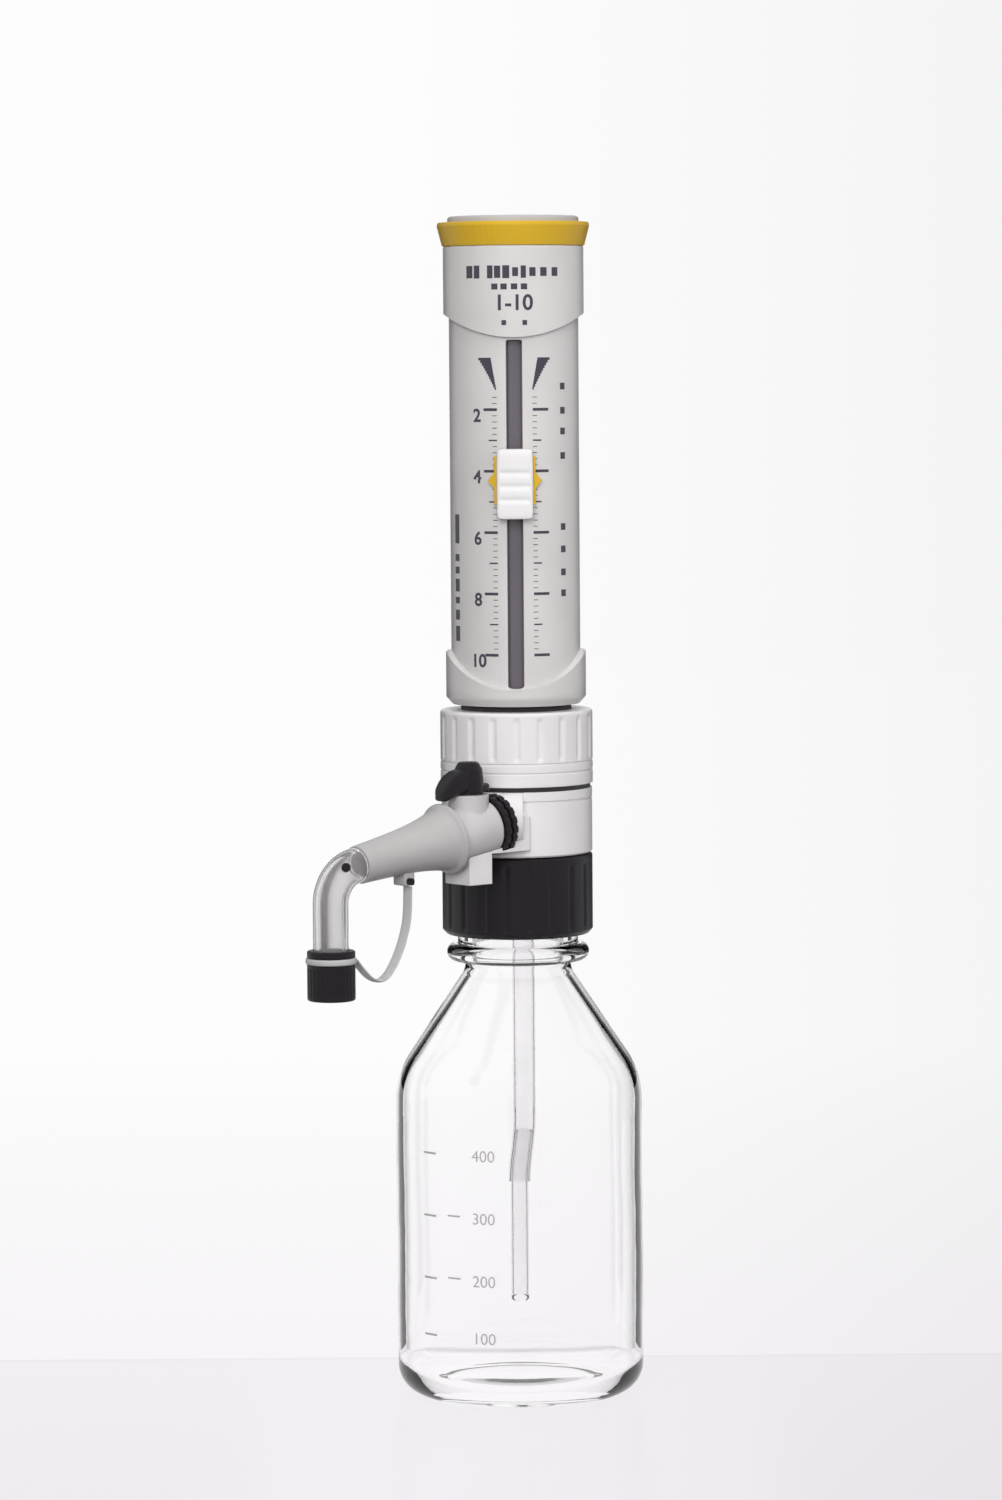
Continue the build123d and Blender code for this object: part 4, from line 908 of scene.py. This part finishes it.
# ------------------------ nozzle root
# Black lock ring with finger grooves, and the cloudy grey stopcock housing, a
# barrel with the round boss of the plug on top.
nozzle_axes = (nozzle_right, np.cross(nozzle_way, nozzle_right), nozzle_way)
lock_radius = 10.3
lock_outline = rounded_loop(
    [
        (3.5, 0.05, 0.2), (lock_radius, 0.05, 0.7), (lock_radius, 2.35, 0.2), (9.3, 2.5, 0.15),
        (9.3, 3.1, 0.15), (lock_radius, 3.25, 0.2), (lock_radius, 5.55, 0.7), (3.5, 5.55, 0.2),
    ]
)
lock_shape = grooved(18, lock_radius, 0.9, 0.4, -1.0, 7.0, ramp=0.1)
lock_place = (nozzle_start, nozzle_axes)
lock = add_turned("lock_ring_shell", lock_outline, 0.5, 216, lock_shape, *lock_place, ring=True)
seat(lock, black_finish, "head", "lock_ring")
cloudy_grey = (0.56, 0.545, 0.545)
housing_finish = moulded("cloudy_grey_plastic", cloudy_grey, 0.28, contrast=0.10, soften=0.0008)
paint(housing_finish, "stopcock_housing")
black_solid_finish = moulded(
    "black_polypropylene_solid", pitch_black, 0.40, soften=0.0005, Specular_IOR_Level=0.25
)
paint(black_solid_finish, "tether_pin", "setting_rack", "slider_lug")

# ------------------------ lever
# Black lever that turns the stopcock: a domed hub, a wing that droops over the
# nozzle and a short pointer behind, moulded in one.
plug_reach = 0.014
plug_place = nozzle_start + nozzle_way * plug_reach
lever_foot = 213.25
hub_outline = rounded_loop(
    [
        (0.0, lever_foot, 0), (5.1, lever_foot, 0.3), (5.15, 218.0, 6.0), (4.75, 221.6, 2.5),
        (3.4, 224.1, 1.6), (0.0, 224.15, 0),
    ]
)
plug_foot = plug_place * (1, 1, 0)
upright = np.array([0, 0, 1.0])
hub = add_turned("lever_hub", hub_outline, 0.6, 96, None, plug_foot)

# Rows across the wing: place along it, half its width, its foot and its head,
# in millimetres from the plug and above the lever's foot.
wing_rows = np.array(
    [
        (-7.9, 0.0, 1.7, 1.7), (-7.9, 1.2, 0.9, 2.5), (-7.6, 2.1, 0.25, 3.1),
        (-6.8, 2.8, 0.1, 3.3), (-4.5, 3.6, 0.1, 3.4), (-2.2, 4.1, 0.1, 5.0),
        (0.0, 4.3, 0.1, 8.3), (4.0, 4.3, 0.1, 8.6), (6.4, 4.3, 0.0, 8.0),
        (8.6, 4.2, -0.8, 6.7), (10.4, 4.0, -1.7, 5.0), (11.9, 3.5, -2.1, 2.9),
        (12.7, 2.6, -1.9, 1.3), (13.0, 1.2, -1.2, 0.2), (13.0, 0.0, -0.5, -0.5),
    ]
)


def smoothed(rows, parts=8, rounds=3):
    """Rows interpolated in parts and averaged with their neighbours, (a + 2 b + c) / 4, ends kept."""
    step = np.linspace(0, len(rows) - 1, parts * (len(rows) - 1) + 1)
    fine = np.stack([np.interp(step, np.arange(len(rows)), column) for column in rows.T], axis=1)
    for _ in range(rounds):
        fine[1:-1] = (fine[:-2] + 2 * fine[1:-1] + fine[2:]) / 4
    return fine


wing_along, wing_half, wing_low, wing_high = smoothed(wing_rows).T[:, :, None]
angle = full_turn(72)[None, :]
side_way, rise_way = [np.sign(way) * np.abs(way) ** (2 / 3.6) for way in (np.cos(angle), np.sin(angle))]
pinch = 1 - 0.07 * np.exp(-((rise_way / 0.35) ** 2))
rise_place = (wing_high + wing_low) / 2 + (wing_high - wing_low) / 2 * rise_way
wing_grid = (
    outward * (wing_along + 0 * angle)[..., None]
    + nozzle_right * (wing_half * side_way * pinch)[..., None]
    + upright * (rise_place + lever_foot)[..., None]
)
wing = add_surface("lever_wing", wing_grid * 0.001 + plug_foot, crease=60)
for piece in (hub, wing):
    seat(piece, black_finish, "lever", "stopcock_lever")

# ------------------------ nozzle cover
# Satin grey shell that tapers along the nozzle, with a raised rim at its large
# end and a small ear below for the strap.
cone_rings = np.array([
    (24.0, 12.2), (25.4, 12.2), (26.4, 10.9), (29.0, 10.1), (33.0, 9.2),
    (38.0, 8.35), (44.0, 7.7), (50.0, 7.25), (56.0, 6.9), (63.0, 6.5),
])
cone_far = np.linspace(26.4, 63.0, 40)
cone_radius = np.interp(cone_far, cone_rings[:, 0], cone_rings[:, 1])
cone_radius = np.convolve(np.pad(cone_radius, 3, mode="edge"), np.ones(7) / 7, mode="valid")
cone_radius[0], cone_radius[-1] = 10.9, 6.5
cone_outline = [
    (8.45, 24.0), (11.7, 24.0), (12.0, 24.08), (12.15, 24.3), (12.2, 24.6), (12.15, 25.0),
    (11.95, 25.4), (11.5, 25.8), (11.1, 26.1),
    *zip(cone_radius, cone_far),
    (6.3, 63.1), (5.2, 63.1), (5.0, 62.8), (5.1, 56.0), (5.9, 44.0), (7.2, 33.0), (8.0, 29.0),
]
cone_grid = turned(np.array(cone_outline), 128, None, nozzle_start, nozzle_axes)
cone = add_surface("nozzle_cover_shell", cone_grid, wrap_rows=True, crease=40)
seat(cone, grey_finish, "head", "nozzle_cover")
ear_round = full_turn(40)
ear_out, ear_side = [
    half * np.sign(way) * np.abs(way) ** 0.35
    for half, way in ((2.4, np.cos(ear_round)), (3.4, np.sin(ear_round)))
]
ear_reach = 42.4
ear_levels = [(-18.6, 0.0), (-18.6, 0.9), (-18.3, 1.0), (-16.5, 1.0), (-13.4, 0.96), (-13.4, 0.0)]
ear_rings = [
    outward * (ear_reach + ear_out * size)[:, None]
    + nozzle_right * (ear_side * size)[:, None]
    + upright * level
    for level, size in ear_levels
]
ear_grid = nozzle_start + np.array(ear_rings) * 0.001
ear = add_surface("nozzle_ear", ear_grid, crease=50)
paint(grey_finish, ear)
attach(ear, "head")

# ------------------------ spout
# Thick clear tube of fluoropolymer, bent down at the nozzle's end; its wall and
# the bend show as grey lines.
spout_begin = 63.05
spout_reach = 74.0
bend_radius = 12.5
dip_way = np.array([math.cos(nozzle_dip), -math.sin(nozzle_dip)])
corner_place = np.array([spout_reach, -spout_reach * math.tan(nozzle_dip)])
turn = math.pi / 2 - nozzle_dip
bend_reach = bend_radius * math.tan(turn / 2)
bend_start = spout_reach / math.cos(nozzle_dip) - bend_reach
spout_line = [dip_way * along for along in np.linspace(spout_begin, bend_start, 5)]
bend_inward = np.array([-math.sin(nozzle_dip), -math.cos(nozzle_dip)])
bend_centre = corner_place - dip_way * bend_reach + bend_inward * bend_radius
for part in np.linspace(0, turn, 25)[1:]:
    tilt = math.pi / 2 - nozzle_dip - part
    spout_line.append(bend_centre + bend_radius * np.array([math.cos(tilt), math.sin(tilt)]))
spout_fall = 51.5
for height in np.linspace(spout_line[-1][1], -spout_fall, 12)[1:]:
    spout_line.append(np.array([spout_reach, height]))
spout_line = np.array(spout_line)
spout_path = nozzle_start + (outward * spout_line[:, :1] + upright * spout_line[:, 1:]) * 0.001
outer_radius, inner_radius = 0.0060, 0.0042
spout_walls = [
    tube_grid(spout_path, (radius, radius), nozzle_right, 96)[1:-1]
    for radius in (outer_radius, inner_radius)
]
spout_grid = np.concatenate([spout_walls[0], spout_walls[1][::-1]])
spout = add_surface("spout_tube", spout_grid, wrap_rows=True, crease=40)
spout_finish = clear("clear_fluoropolymer", (0.88, 0.87, 0.87), 0.12, 1.38, 0.12, 0.88)
seat(spout, spout_finish, "head", "spout")
paint(spout_finish, "discharge_tube")

# The vent plug is a small black button pressed in the bend's crown, aslant.
plug_out = 69.1
plug_rise = math.sqrt(bend_radius**2 - (plug_out - bend_centre[0]) ** 2)
plug_axis = np.array([plug_out - bend_centre[0], plug_rise]) / bend_radius
plug_side = outward * plug_axis[0] + upright * plug_axis[1]
plug_tilt = math.radians(35)
vent_way = plug_side * math.sin(plug_tilt) + nozzle_right * math.cos(plug_tilt)
vent_side = nozzle_right * math.sin(plug_tilt) - plug_side * math.cos(plug_tilt)
vent_across = np.cross(vent_way, vent_side)
vent_rise = bend_centre[1] + plug_rise
vent_place = nozzle_start + (outward * plug_out + upright * vent_rise) * 0.001
vent_outline = rounded_loop(
    [(0.0, 4.4, 0), (1.3, 4.4, 0.1), (1.6, 6.3, 0.3), (1.3, 6.75, 0.4), (0.0, 6.8, 0)]
)
vent_axes = (vent_side, vent_across, vent_way)
vent = add_turned("vent_button", vent_outline, 0.4, 48, None, vent_place, vent_axes)
seat(vent, black_finish, "head", "vent_plug")

# ------------------------ outlet cap
# Black screw cap on the end of the spout with fine flutes below the strap's
# ring, which snaps into a groove near its top.
cap_start = (nozzle_start + outward * spout_reach * 0.001) * (1, 1, 0)
outlet_radius = 8.1
outlet_outline = rounded_loop(
    [
        (0.0, 147.4, 0), (outlet_radius, 147.4, 0.7), (outlet_radius, 159.55, 0.25),
        (7.3, 159.6, 0.1), (7.3, 161.8, 0.1), (outlet_radius, 161.85, 0.25),
        (outlet_radius, 164.2, 0.7), (6.1, 164.2, 0.4), (6.1, 150.8, 0.2), (0.0, 150.8, 0),
    ]
)
outlet_shape = grooved(30, outlet_radius, 0.5, 0.45, 148.4, 158.8, ramp=0.5)
outlet = add_turned("outlet_cap_shell", outlet_outline, 0.6, 360, outlet_shape, cap_start)
seat(outlet, black_finish, "cap", "outlet_cap")
strap_ring_outline = rounded_loop(
    [(7.35, 159.65, 0.2), (8.6, 159.65, 0.6), (8.6, 161.75, 0.6), (7.35, 161.75, 0.2)]
)
strap_ring = add_turned("strap_ring", strap_ring_outline, 0.5, 96, None, cap_start, ring=True, crease=60)
seat(strap_ring, strap_finish, "cap", "tether_ring")

# ------------------------ filling tubes
# Two clear fluoropolymer tubes that slide in one another, the lower one cut
# slantwise at its foot.


def slanted(angle, radius, height):
    """The foot of the lower tube rises by 2.6 * (1 - y / 3.9) millimetres, from the back to the front."""
    rise = np.clip((40 - height) / 10, 0, 1) * 2.6 * (1 - radius / 3.9 * np.sin(angle))
    return radius, height + rise


def bowed(grid):
    """The soft tubes bow to the right: x + 1.9 mm * s, where s rises smoothly below the neck and falls
    smoothly again towards 74 mm."""
    height = grid[..., 2] * 1000
    top = np.clip((182 - height) / 28, 0, 1)
    foot = np.clip((height - 74) / 22, 0, 1)
    grid[..., 0] += 0.0019 * top * top * (3 - 2 * top) * foot * foot * (3 - 2 * foot)
    return grid


upper_outline = rounded_loop([(3.12, 74.0, 0.1), (3.9, 74.0, 0.2), (3.9, 184.5, 0.2), (3.12, 184.5, 0.1)])
lower_outline = rounded_loop([(2.36, 30.0, 0.1), (3.05, 30.0, 0.1), (3.05, 92.0, 0.2), (2.36, 92.0, 0.1)])
upper_grid = bowed(turned(spread(upper_outline, 3.0), 64))
lower_grid = bowed(turned(spread(lower_outline, 2.0), 64, slanted))
tube_finish = clear("clear_filling_tube", (0.955, 0.95, 0.955), 0.02, 1.42, 0.05)
for name, grid, node in (
    ("filling_tube_sleeve", upper_grid, "filling_tube_upper"),
    ("filling_tube_end", lower_grid, "filling_tube_lower"),
):
    tube = add_surface(name, grid, wrap_rows=True)
    seat(tube, tube_finish, "head", node)

# ------------------------ inside
# The pieces inside keep their drawn form: white fluoropolymer valves, seals and
# piston, ceramic balls and stainless steel rod, nut, screw and spring.
fluoropolymer_finish = moulded("white_fluoropolymer", (0.82, 0.82, 0.80), 0.30)
paint(fluoropolymer_finish, "lip_seal", "cylinder_gasket", "inlet_valve_body", "piston", "piston_seal")
paint(fluoropolymer_finish, "guide_ring", "discharge_seat", "stopcock_plug")
steel_finish = moulded("stainless_steel", (0.55, 0.56, 0.57), 0.25, Metallic=1.0)
paint(steel_finish, "piston_rod", "rod_nut", "slider_screw")

# The outlet valve's spring is wound from steel wire. Its foot rests on the ball
# and its head in the lock ring.
spring_start = -3.39
spring_end = 5.30
spring_turns = 5
spring_radius = 1.9
spring_steps = 241
wire_radius = 0.00025
turned_by = np.linspace(0, 2 * math.pi * spring_turns, spring_steps)
spring_line = (
    nozzle_right * np.cos(turned_by)[:, None] * spring_radius
    + nozzle_axes[1] * np.sin(turned_by)[:, None] * spring_radius
    + nozzle_way * np.linspace(spring_start, spring_end, spring_steps)[:, None]
) * 0.001 + nozzle_start
spring = add_surface("valve_spring", tube_grid(spring_line, (wire_radius, wire_radius), nozzle_way, 12))
paint(steel_finish, spring)
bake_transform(spring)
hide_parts("discharge_spring")
ceramic_finish = moulded("ceramic_ball", (0.85, 0.84, 0.81), 0.08)
paint(ceramic_finish, "inlet_ball", "discharge_ball")
